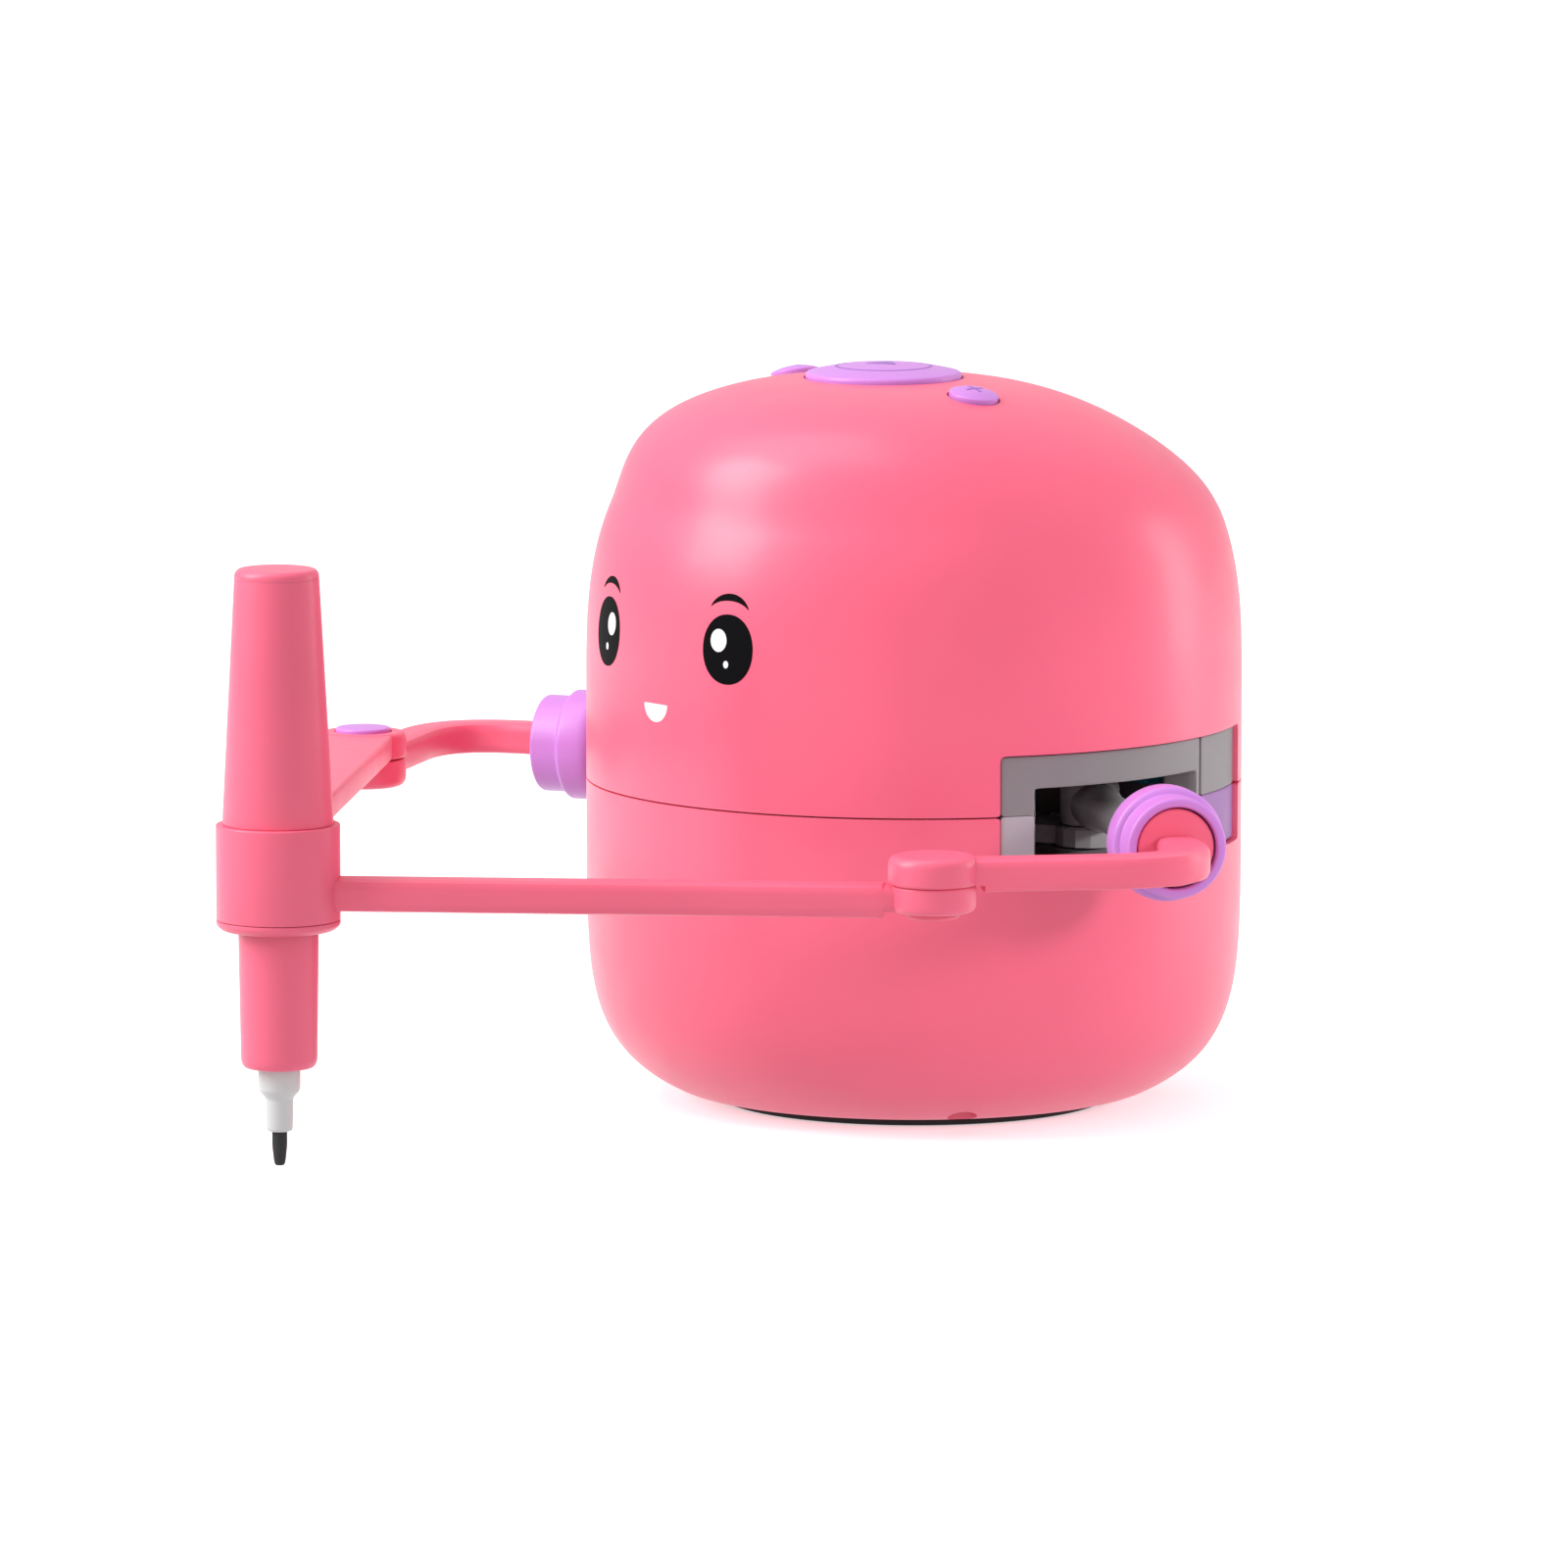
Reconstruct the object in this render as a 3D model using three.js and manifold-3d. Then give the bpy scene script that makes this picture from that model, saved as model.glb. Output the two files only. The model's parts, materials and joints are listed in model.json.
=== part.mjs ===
// A desktop drawing robot: a rounded two-part housing whose two jointed arms reach out of side slots
// and carry one felt-tip pen between them. Millimetres, +Z up, the face looks along -Y, the robot's own
// left is +X, and the origin is the middle of the face that it stands on.
import * as THREE from "three";
import { mergeVertices } from "three/addons/utils/BufferGeometryUtils.js";
import Module from "manifold-3d";

const wasm = await Module();
wasm.setup();

// ---------------------------------------------------------------- driving dimensions
const GAP = 0.3; // between touching pieces
const SEGMENTS = 20; // round pieces
const BODY_SEGMENTS = 36; // the housing's rings

const body = {
  radius: 66.6,
  widestZ: 84.9,
  riseAbove: 63.2,
  dropBelow: 89.1,
  upperPowers: [2.82, 2.98], // of the radius and of the height
  lowerPowers: [2.3, 8],
  lean: 8, // how far the crown sits in front of the axis
  leanFrom: 121,
  leanTo: 145,
  wall: 2.2,
  seamZ: 65.9,
  baseZ: 1.9,
};
const foot = { radius: 39.6, thickness: 1.6 };
const slot = { from: 66, to: 131, low: 54.6, high: 78.1, depth: 10 }; // degrees round from the face
const bezel = {
  outer: 65.6,
  inner: 58.2,
  flange: 62.8, // the radius of the lip behind the wall
  lip: 2.2,
  from: 72.5, // the window, round from the face
  to: 110.8,
  low: 55.5,
  high: 71.3,
  blockFrom: 112.7,
};

// The two shoulders: the rod's angle round from the face, and the level of the arm's middle.
const shoulder = { x: 38, y: 15, left: { angle: 64.8, z: 62.9 }, right: { angle: 59.4, z: 64.1 } };
const arm = {
  rodRadius: 4,
  hubRadius: 6,
  hubLow: -4.1,
  hubHigh: 4.6,
  collarEnd: 68.6,
  elbowRadius: 102.6, // from the shoulder's axis to the elbow's
  elbowAngle: 31.8, // that the elbow lies ahead of the rod
  width: 8.4,
  bendFrom: 74, // along the rod's line, where the bar starts to turn towards the elbow
  bendCorner: 92.4,
  bendTo: [90.6, -20],
  bossRadius: 8.8,
  halfThickness: 2.6,
  lapSide: 4.1, // from the arm's middle to the bar's face on the forearm's side, and on the other
  freeSide: 2.4,
  pinRadius: 2.5,
};
const forearm = {
  length: 128,
  thickness: 5.1,
  barWidth: 8.4,
  barOver: 0.3, // how far the left bar stands above its boss, and below it
  barUnder: 1.1,
  plateWidth: [13.2, 18.4],
  plateRise: 2.6,
};
const pen = {
  tip: 3.2,
  tubeRadius: 7.9,
  coneRadius: 10.9,
  topRadius: 8.3,
  collarRadius: 12.2,
  collarBore: 10.2,
};
const level = {
  collarLow: 49.9,
  collarSplit: 52,
  collarHigh: 70.7,
  coneLow: 71.1,
  coneHigh: 118.9,
  tubeLow: 22.7,
  tubeHigh: 84,
};

const gear = {
  module: 1,
  sectorTeeth: 40,
  pinionTeeth: 10,
  low: 54.6,
  thickness: 3.6,
  bore: 2.3,
  halfSpan: 34,
};
const motor = { radius: 11, low: 33, high: 50.8, shaftRadius: 1 };
const frame = {
  low: 51.1,
  thickness: 3,
  coverLow: 69.8,
  coverThickness: 2.5,
  wallFrom: 31.5,
  wallTo: 34,
  halfWidth: 44,
};
const guide = { radius: 2, front: -7, rear: 37, low: 6.8, high: 84, bossRadius: 4.6 };
const lift = { pinionTeeth: 16, rackBackY: -15.5, axisZ: 52, faceWidth: 5 };
const button = {
  y: -8,
  mainRadius: 15.8,
  sideRadius: 5,
  sideX: 28.8,
  sideTilt: 11.8,
  clearance: 0.4,
  travel: 1,
};
const screwAngles = [62.5, 145, 215, 297.5];
const screw = { circle: 49, headZ: 56, post: 4.2, recess: 3, pilot: 1.15, end: 78 };

const colour = {
  pink: [0xfb7494, 0.38],
  violet: [0xdc96ea, 0.36],
  paleGrey: [0xb3a6ae, 0.45],
  grey: [0x8b8788, 0.5],
  white: [0xe6e4e4, 0.4],
  black: [0x1c1b1d, 0.6],
  rubber: [0x121214, 0.85],
  steel: [0xb9bcc2, 0.25, 1],
  brass: [0xc8a24a, 0.3, 1],
  board: [0x1e6b3c, 0.55],
  blue: [0x2c6076, 0.5],
};

// ---------------------------------------------------------------- solids
const radians = (degrees) => (degrees * Math.PI) / 180;

function solid(geometry) {
  const bare = geometry.clone();
  for (const name of Object.keys(bare.attributes)) {
    if (name !== "position") bare.deleteAttribute(name);
  }
  const merged = mergeVertices(bare.index ? bare.toNonIndexed() : bare, 1e-4);
  return new wasm.Manifold(
    new wasm.Mesh({
      numProp: 3,
      vertProperties: new Float32Array(merged.attributes.position.array),
      triVerts: new Uint32Array(merged.index.array),
    }),
  );
}

const union = (...solids) => solids.reduce((whole, piece) => whole.add(piece));

function finish(name, made, look) {
  const data = made.getMesh();
  const geometry = new THREE.BufferGeometry();
  geometry.setAttribute("position", new THREE.BufferAttribute(new Float32Array(data.vertProperties), 3));
  geometry.setIndex(new THREE.BufferAttribute(new Uint32Array(data.triVerts), 1));
  geometry.computeVertexNormals();
  const [color, roughness, metalness = 0] = colour[look];
  const mesh = new THREE.Mesh(geometry, new THREE.MeshStandardMaterial({ color, roughness, metalness }));
  mesh.name = name;
  return mesh;
}

// A turned solid about Z from [radius, height] points that start and end on the axis, bottom to top.
function turned(points, segments = SEGMENTS) {
  const profile = points.map(([r, z]) => new THREE.Vector2(r, z));
  return solid(new THREE.LatheGeometry(profile, segments).rotateX(Math.PI / 2));
}

const rod = (radius, low, high, segments = SEGMENTS) =>
  turned([[0, low], [radius, low], [radius, high], [0, high]], segments);

const tube = (outer, inner, low, high) => rod(outer, low, high).subtract(rod(inner, low - 1, high + 1));

function block(x0, x1, y0, y1, z0, z1) {
  const box = new THREE.BoxGeometry(x1 - x0, y1 - y0, z1 - z0);
  return solid(box.translate((x0 + x1) / 2, (y0 + y1) / 2, (z0 + z1) / 2));
}

function slab(shape, low, high, curveSegments = 12) {
  const depth = high - low;
  const geometry = new THREE.ExtrudeGeometry(shape, { depth, bevelEnabled: false, curveSegments });
  return solid(geometry.translate(0, 0, low));
}

// A bar of constant width along a plan curve.
function ribbon(curve, halfWidth, low, high, steps = 18) {
  const sides = [1, -1].map((side) =>
    Array.from({ length: steps + 1 }, (_, i) => {
      const at = curve.getPoint(i / steps);
      const along = curve.getTangent(i / steps);
      return new THREE.Vector2(at.x - side * halfWidth * along.y, at.y + side * halfWidth * along.x);
    }),
  );
  return slab(new THREE.Shape([...sides[1], ...sides[0].reverse()]), low, high);
}

// The direction at an angle round from the face, towards the robot's left.
const heading = (degrees) => new THREE.Vector2(Math.sin(radians(degrees)), -Math.cos(radians(degrees)));

// A pie slice of a tube about Z, between two such angles.
function slice(outer, inner, from, to, low, high, steps = 12) {
  const arc = (radius) =>
    Array.from({ length: steps + 1 }, (_, i) =>
      heading(from + ((to - from) * i) / steps).multiplyScalar(radius));
  return slab(new THREE.Shape([...arc(outer), ...arc(inner).reverse()]), low, high);
}

// ---------------------------------------------------------------- the housing's surface
const smooth = (from, to, value) => THREE.MathUtils.smoothstep(value, from, to);
const leanAt = (z) => -body.lean * smooth(body.leanFrom, body.leanTo, z);

function bodyRadius(z, inset = 0) {
  const above = z > body.widestZ;
  const span = (above ? body.riseAbove : body.dropBelow) - inset;
  const [radiusPower, heightPower] = above ? body.upperPowers : body.lowerPowers;
  const height = Math.min(1, Math.abs(z - body.widestZ) / span);
  return (body.radius - inset) * Math.pow(1 - Math.pow(height, heightPower), 1 / radiusPower);
}

// The height of the crown at a distance from its own centre.
function crownHeight(radius, inset = 0) {
  const [radiusPower, heightPower] = body.upperPowers;
  const share = Math.pow(radius / (body.radius - inset), radiusPower);
  return body.widestZ + (body.riseAbove - inset) * Math.pow(1 - share, 1 / heightPower);
}

// Heights that follow the curve evenly between two levels.
function ringHeights(low, high, inset, steps) {
  const heights = [low];
  for (let i = 1; i < steps; i += 1) {
    const turn = -Math.PI / 2 + (Math.PI * i) / steps;
    const above = turn > 0;
    const span = (above ? body.riseAbove : body.dropBelow) - inset;
    const heightPower = (above ? body.upperPowers : body.lowerPowers)[1];
    const z = body.widestZ + Math.sign(turn) * span * Math.pow(Math.abs(Math.sin(turn)), 2 / heightPower);
    if (z > low + 1 && z < high - 1e-3) heights.push(z);
  }
  return [...heights, high];
}

// The housing's filled form between two levels, as rings of points joined by triangles.
function bodySolid(low, high, inset = 0, steps = 18) {
  const heights = ringHeights(low, high, inset, steps);
  const positions = [0, leanAt(low), low];
  for (const z of heights) {
    for (let k = 0; k < BODY_SEGMENTS; k += 1) {
      const way = (2 * Math.PI * k) / BODY_SEGMENTS;
      const radius = Math.max(bodyRadius(z, inset), 0.5);
      positions.push(radius * Math.cos(way), radius * Math.sin(way) + leanAt(z), z);
    }
  }
  const last = positions.length / 3;
  positions.push(0, leanAt(high), high);
  const index = [];
  for (let k = 0; k < BODY_SEGMENTS; k += 1) {
    const next = (k + 1) % BODY_SEGMENTS;
    index.push(0, 1 + next, 1 + k);
    for (let ring = 0; ring < heights.length - 1; ring += 1) {
      const a = 1 + ring * BODY_SEGMENTS + k;
      const b = 1 + ring * BODY_SEGMENTS + next;
      index.push(a, b, b + BODY_SEGMENTS, a, b + BODY_SEGMENTS, a + BODY_SEGMENTS);
    }
    const top = 1 + (heights.length - 1) * BODY_SEGMENTS;
    index.push(last, top + k, top + next);
  }
  const geometry = new THREE.BufferGeometry();
  geometry.setAttribute("position", new THREE.BufferAttribute(new Float32Array(positions), 3));
  geometry.setIndex(index);
  return solid(geometry);
}

const apex = body.widestZ + body.riseAbove;
const mainButtonLevel = crownHeight(0) - 0.4;
const sideButtonLevel = crownHeight(button.sideX) + 0.1;
const side = { left: 1, right: -1 };
const spanOn = (sign, from, to) => (sign > 0 ? [from, to] : [-to, -from]);
const slotCut = (sign) =>
  slice(body.radius + 5, body.radius - slot.depth, ...spanOn(sign, slot.from, slot.to), slot.low, slot.high);

function topShell() {
  const seam = body.seamZ + GAP / 2;
  let made = bodySolid(seam, apex - 0.02).subtract(bodySolid(seam - 5, apex - body.wall, body.wall, 12));
  for (const degrees of screwAngles) {
    const at = heading(degrees).multiplyScalar(screw.circle);
    const post = rod(screw.post, seam, screw.end + 2, 12).translate([at.x, at.y, 0]);
    const webSpan = [degrees - 1.6, degrees + 1.6];
    const web = slice(body.radius - 1.5, screw.circle, ...webSpan, seam + 3, screw.end + 2, 1);
    const pilot = rod(screw.pilot, seam - 1, screw.end, 8).translate([at.x, at.y, 0]);
    made = made.add(post).add(web).subtract(pilot);
  }
  made = made.subtract(slotCut(side.left)).subtract(slotCut(side.right));
  made = made.subtract(rod(button.mainRadius + button.clearance, 130, 160, 28).translate([0, button.y, 0]));
  for (const sign of Object.values(side)) {
    const upright = rod(button.sideRadius + button.clearance, -10, 10, 20);
    const hole = upright.rotate([0, sign * button.sideTilt, 0]);
    made = made.subtract(hole.translate([sign * button.sideX, button.y, sideButtonLevel]));
  }
  return finish("top_shell", made, "pink");
}

function bottomShell() {
  const seam = body.seamZ - GAP / 2;
  const outside = bodySolid(body.baseZ, seam);
  let made = outside.subtract(bodySolid(body.baseZ + body.wall, seam + 5, body.wall, 10));
  for (const degrees of screwAngles) {
    const at = heading(degrees).multiplyScalar(screw.circle);
    made = made.add(rod(screw.post, 0, seam, 12).translate([at.x, at.y, 0]).intersect(outside));
    made = made.subtract(rod(screw.recess, 0, screw.headZ, 12).translate([at.x, at.y, 0]));
    made = made.subtract(rod(screw.pilot + GAP, 10, seam + 1, 8).translate([at.x, at.y, 0]));
  }
  made = made.subtract(slotCut(side.left)).subtract(slotCut(side.right));
  made = made.subtract(block(-5, 5, 55, 75, 22, 26.4)); // charging socket
  return finish("bottom_shell", made, "pink");
}

function footPad() {
  const { radius, thickness } = foot;
  const pad = turned([[0, 0], [radius - 0.6, 0], [radius, 0.5], [radius, thickness], [0, thickness]], 36);
  return finish("foot_pad", pad, "rubber");
}

// The grey frame that lines a side slot, in an upper and a lower half, and the block at its back end. A
// flange behind the wall holds each of them in.
function bezelPieces(name) {
  const sign = side[name];
  const edge = 0.35; // degrees, about 0.4 mm at the wall
  const window = slice(70, 50, ...spanOn(sign, bezel.from, bezel.to), bezel.low, bezel.high);
  const piece = (from, to, low, high, [before, after, below, above]) => {
    const face = slice(bezel.outer, bezel.inner, ...spanOn(sign, from, to), low, high, 8);
    const lipSpan = spanOn(sign, from - before, to + after);
    const behind = slice(bezel.flange, bezel.inner, ...lipSpan, low - below, high + above, 8);
    return face.add(behind).subtract(window);
  };
  const lip = (bezel.lip / bezel.flange) * (180 / Math.PI);
  const middle = body.seamZ;
  const start = slot.from + edge;
  const end = slot.to - edge;
  const split = bezel.blockFrom - edge;
  const [low, lowTop] = [slot.low + GAP, middle - GAP / 2];
  const upper = piece(start, end, middle + GAP / 2, slot.high - GAP, [lip, lip, 0, bezel.lip]);
  const lower = piece(start, split, low, lowTop, [lip, 0, bezel.lip, 0]);
  const endBlock = piece(bezel.blockFrom, end, low, lowTop, [0, lip, bezel.lip, 0]);
  return [
    finish(`${name}_bezel_upper`, upper, "grey"),
    finish(`${name}_bezel_lower`, lower, "paleGrey"),
    finish(`${name}_slot_end_block`, endBlock, "violet"),
  ];
}

// ---------------------------------------------------------------- buttons
// A domed cap on a plunger, about the middle of its rim.
function buttonSolid(radius, rise, plunger, segments) {
  const stem = radius * 0.35;
  return turned([
    [0, -plunger],
    [stem, -plunger],
    [stem, -2.6],
    [radius, -2.6],
    [radius, rise * 0.35],
    [radius * 0.94, rise * 0.55],
    [radius * 0.6, rise * 0.88],
    [0, rise],
  ], segments);
}

const boardTop = 123.6;
const switchHigh = boardTop + 4.6;

function buttons() {
  const plunger = (level) => level - switchHigh - button.travel;
  const mainSolid = buttonSolid(button.mainRadius, 3, plunger(mainButtonLevel), 24);
  const main = finish("main_button", mainSolid, "violet");
  main.position.set(0, button.y, mainButtonLevel);
  const sides = Object.entries(side).map(([name, sign]) => {
    const cap = buttonSolid(button.sideRadius, 1.7, 5, 16).rotate([0, sign * button.sideTilt, 0]);
    const post = rod(1.8, -plunger(sideButtonLevel), -3, 10);
    const made = finish(`${name}_button`, cap.add(post), "violet");
    made.position.set(sign * button.sideX, button.y, sideButtonLevel);
    return made;
  });
  return [main, ...sides];
}

// ---------------------------------------------------------------- inside the housing
function electronics() {
  const buttonBoard = rod(36, boardTop - 1.6, boardTop, 28).translate([0, button.y, 0]);
  const tact = (x) => block(x - 3, x + 3, button.y - 3, button.y + 3, boardTop + GAP, switchHigh);
  const mainBoard = block(-36, 36, -30, 26, 98, 99.6);
  const speaker = union(rod(19, 103, 106), rod(9.1, 105.9, 112, 16), tube(19, 17, 105.9, 114));
  const cells = block(-24, 24, -44, -15, 9.8, 24);
  const socket = block(-4.6, 4.6, 56.5, 65.4, 22.4, 26).subtract(block(-3.9, 3.9, 60, 70, 23, 25.4));
  return [
    finish("button_board", buttonBoard, "board"),
    finish("main_switch", tact(0), "black"),
    finish("left_switch", tact(button.sideX), "black"),
    finish("right_switch", tact(-button.sideX), "black"),
    finish("main_board", mainBoard, "board"),
    finish("speaker", speaker.translate([0, 34, 0]), "black"),
    finish("battery_pack", cells, "blue"),
    finish("charge_socket", socket, "steel"),
  ];
}

const guidePlaces = [guide.front, guide.rear];
const guideHoles = (low, high) =>
  union(...guidePlaces.map((y) => rod(guide.radius + GAP, low, high, 12).translate([0, y, 0])));

function chassis() {
  const sockets = guidePlaces.map((y) => rod(4, 6.5, 15, 12).translate([0, y, 0]));
  const deck = union(rod(40, 6.5, 9, 28), ...sockets).subtract(guideHoles(6, 20));
  const guides = guidePlaces.map((y) => rod(guide.radius, guide.low, guide.high, 12).translate([0, y, 0]));
  return [
    finish("chassis_plate", deck, "grey"),
    finish("front_guide_rod", guides[0], "steel"),
    finish("rear_guide_rod", guides[1], "steel"),
  ];
}

function housingScrews() {
  return screwAngles.map((degrees, i) => {
    const at = heading(degrees).multiplyScalar(screw.circle);
    const head = rod(2.6, screw.headZ - 2.3, screw.headZ - GAP, 10);
    const shank = rod(0.85, screw.headZ - 1, screw.end - 3, 6);
    const drive = block(-1.9, 1.9, -0.4, 0.4, screw.headZ - 4, screw.headZ - 1.5);
    const made = head.add(shank).subtract(drive).translate([at.x, at.y, 0]);
    return finish(`housing_screw_${i + 1}`, made, "steel");
  });
}

// ---------------------------------------------------------------- gears
// Straight-sided teeth, in degrees round from +X. A sector keeps only the teeth within its half span.
function gearShape(teeth, bore, phase = 0, halfSpan = 180) {
  const pitch = (gear.module * teeth) / 2;
  const step = 360 / teeth;
  const root = pitch - 1.2 * gear.module;
  const tip = pitch + 0.78 * gear.module;
  const outline = [];
  for (let i = 0; i < teeth; i += 1) {
    const middle = phase + i * step;
    const wrapped = ((middle + 540) % 360) - 180;
    const tooth = [[root, -0.3], [tip, -0.11], [tip, 0.11], [root, 0.3]];
    const corners = Math.abs(wrapped) <= halfSpan ? tooth : [[root, 0]];
    for (const [radius, share] of corners) {
      const way = radians(middle + share * step);
      outline.push(new THREE.Vector2(radius * Math.cos(way), radius * Math.sin(way)));
    }
  }
  const shape = new THREE.Shape(outline);
  const hole = new THREE.Path();
  hole.absarc(0, 0, bore, 0, 2 * Math.PI, true);
  shape.holes.push(hole);
  return shape;
}

const sectorPitch = (gear.module * gear.sectorTeeth) / 2;
const pinionPitch = (gear.module * gear.pinionTeeth) / 2;
const motorX = shoulder.x - sectorPitch - pinionPitch;
const gearHigh = gear.low + gear.thickness;

// The toothed quarter that faces the motor, with a boss that reaches up to the rod's hub.
function sectorGear(name) {
  const { halfSpan, low, bore } = gear;
  const reach = 2 * sectorPitch;
  const corner = (turn) =>
    new THREE.Vector2(reach * Math.cos(radians(turn)), reach * Math.sin(radians(turn)));
  const wedge = new THREE.Shape([new THREE.Vector2(-4, 0), corner(-halfSpan), corner(halfSpan)]);
  const bossHigh = shoulder[name].z + arm.hubLow - GAP;
  const toothed = slab(gearShape(gear.sectorTeeth, bore, 0, halfSpan + 1), low, gearHigh, 8);
  const kept = union(slab(wedge, low - 1, gearHigh + 1), rod(7, low - 1, gearHigh + 1, 14));
  const trimmed = toothed.intersect(kept);
  const made = trimmed.add(tube(arm.hubRadius, bore, gearHigh - 0.5, bossHigh));
  return finish(`${name}_sector_gear`, made, "white");
}

function shoulderDrive(name) {
  const sign = side[name];
  const shaftHigh = frame.coverLow + frame.coverThickness + 1;
  const shaft = union(rod(2, frame.low - 1, shaftHigh, 16), rod(3.6, frame.low - 1.4, frame.low - GAP, 14));
  const can = union(
    rod(motor.radius, motor.low, motor.high, 20),
    rod(3, motor.high - 0.5, motor.high + 1.5, 12),
    rod(motor.shaftRadius, motor.high, gearHigh + 1, 10),
  );
  const shape = gearShape(gear.pinionTeeth, motor.shaftRadius + 0.15, 180 / gear.pinionTeeth);
  const pinion = slab(shape, gear.low + 0.1, gearHigh - 0.1, 8).rotate([0, 0, sign > 0 ? 0 : 180]);
  return [
    finish(`${name}_pivot_shaft`, shaft.translate([sign * shoulder.x, shoulder.y, 0]), "steel"),
    finish(`${name}_shoulder_motor`, can.translate([sign * motorX, shoulder.y, 0]), "steel"),
    finish(`${name}_pinion`, pinion.translate([sign * motorX, shoulder.y, 0]), "brass"),
  ];
}

// ---------------------------------------------------------------- the lifting carriage
const atShoulders = (make) =>
  union(...Object.values(side).map((sign) => make().translate([sign * shoulder.x, shoulder.y, 0])));

function carriagePlan(low, high) {
  const { halfWidth, wallTo } = frame;
  return union(
    block(-halfWidth, halfWidth, 8, wallTo, low, high),
    block(-10, 10, -13, 42, low, high),
    atShoulders(() => rod(8, low, high, 16)),
  );
}

function carriage() {
  const high = frame.low + frame.thickness;
  const coverHigh = frame.coverLow + frame.coverThickness;
  const wallHigh = frame.coverLow - GAP;
  const bosses = guidePlaces.map((y) => rod(guide.bossRadius, frame.low, wallHigh, 12).translate([0, y, 0]));
  const wall = block(-frame.halfWidth, frame.halfWidth, frame.wallFrom, frame.wallTo, frame.low, wallHigh);
  const shafts = (low, top) => atShoulders(() => rod(2 + GAP, low, top, 16));
  const noses = [motorX, -motorX].map((x) => rod(3 + GAP, 50, 60, 12).translate([x, shoulder.y, 0]));
  const holes = union(shafts(40, 60), guideHoles(40, 80), ...noses);
  const lower = union(carriagePlan(frame.low, high), wall, ...bosses).subtract(holes);
  const cover = carriagePlan(frame.coverLow, coverHigh).subtract(union(shafts(60, 80), guideHoles(60, 80)));
  const plug = union(block(38, 41, 27, 31.2, 66, 69.5), block(33.5, 38.1, 27, 31.2, 66, 69.5));
  return [
    finish("carriage_frame", lower, "grey"),
    finish("carriage_cover", cover, "grey"),
    finish("cable_plug", plug, "blue"),
  ];
}

// A rack on the carriage's front and the servo whose gear climbs it.
function liftDrive() {
  const pitch = (gear.module * lift.pinionTeeth) / 2;
  const toothPitch = Math.PI * gear.module;
  const pitchLine = lift.rackBackY - 3.2;
  const outline = [new THREE.Vector2(lift.rackBackY, -4.5 * toothPitch)];
  for (let i = -4; i <= 4; i += 1) {
    for (const [depth, share] of [[1.2, -0.3], [-0.78, -0.11], [-0.78, 0.11], [1.2, 0.3]]) {
      outline.push(new THREE.Vector2(pitchLine + depth, (i + share) * toothPitch));
    }
  }
  outline.push(new THREE.Vector2(lift.rackBackY, 4.5 * toothPitch));
  const half = lift.faceWidth / 2;
  const onSide = (shape, depth) =>
    solid(new THREE.ExtrudeGeometry(shape, { depth: 2 * depth, bevelEnabled: false, curveSegments: 6 })
      .translate(0, 0, -depth)
      .rotateY(Math.PI / 2)
      .rotateX(Math.PI / 2));
  const high = frame.low + frame.thickness;
  const bridge = block(-half, half, lift.rackBackY - 0.1, -13 - GAP, frame.low, high);
  const rack = onSide(new THREE.Shape(outline), half).translate([0, 0, lift.axisZ]).add(bridge);
  const axisY = pitchLine - pitch;
  const spurShape = gearShape(lift.pinionTeeth, 1.6, 180 / lift.pinionTeeth);
  const spur = onSide(spurShape, half - 0.2).translate([0, axisY, lift.axisZ]);
  const shaftShape = new THREE.CylinderGeometry(1.35, 1.35, 8, 12).rotateZ(Math.PI / 2);
  const shaft = solid(shaftShape).translate([1.6, axisY, lift.axisZ]);
  const caseSolid = block(5, 27, axisY - 6, axisY + 6, 40, 63);
  const ears = block(8, 10, axisY - 6, axisY + 6, 36, 67);
  return [
    finish("lift_rack", rack, "white"),
    finish("lift_pinion", spur, "white"),
    finish("lift_servo", union(caseSolid, ears, shaft), "blue"),
  ];
}

// ---------------------------------------------------------------- arms
// An arm's own frame: the shoulder's axis is the origin, the rod runs along +X, the elbow is ahead of it
// on the -Y side, and Z is 0 at the arm's middle.
const alongX = (points, segments = SEGMENTS) => turned(points, segments).rotate([0, 90, 0]);

const elbowPlace = () =>
  new THREE.Vector2(
    arm.elbowRadius * Math.cos(radians(arm.elbowAngle)),
    -arm.elbowRadius * Math.sin(radians(arm.elbowAngle)),
  );

function shoulderRod(name) {
  const { rodRadius, hubRadius, hubLow, hubHigh, collarEnd } = arm;
  const hub = turned([
    [0, hubLow], [hubRadius - 0.8, hubLow], [hubRadius, hubLow + 0.8],
    [hubRadius, hubHigh - 1.4], [hubRadius - 1.4, hubHigh], [0, hubHigh],
  ]);
  const stem = alongX([[0, 0], [rodRadius, 0], [rodRadius, collarEnd - 8.6], [0, collarEnd - 8.6]]);
  return finish(`${name}_shoulder_rod`, hub.add(stem).subtract(rod(2 + 0.15, -20, 20, 16)), "white");
}

function shoulderCollar(name) {
  const [back, step, face] = [arm.collarEnd - 14.6, arm.collarEnd - 6.2, arm.collarEnd];
  const outer = alongX([
    [0, back], [9.6, back], [11.4, back + 2.2], [11.4, step - 1], [10.8, step],
    [10.05, step + 0.3], [10.05, face - 1], [9, face], [0, face],
  ], 24);
  const socket = alongX([[0, face - 7.6], [8.1, face - 7.6], [8.1, face + 1], [0, face + 1]], 24);
  const wide = arm.rodRadius + GAP;
  const bore = alongX([[0, back - 1], [wide, back - 1], [wide, face], [0, face]]);
  return finish(`${name}_shoulder_collar`, outer.subtract(socket).subtract(bore), "violet");
}

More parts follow.
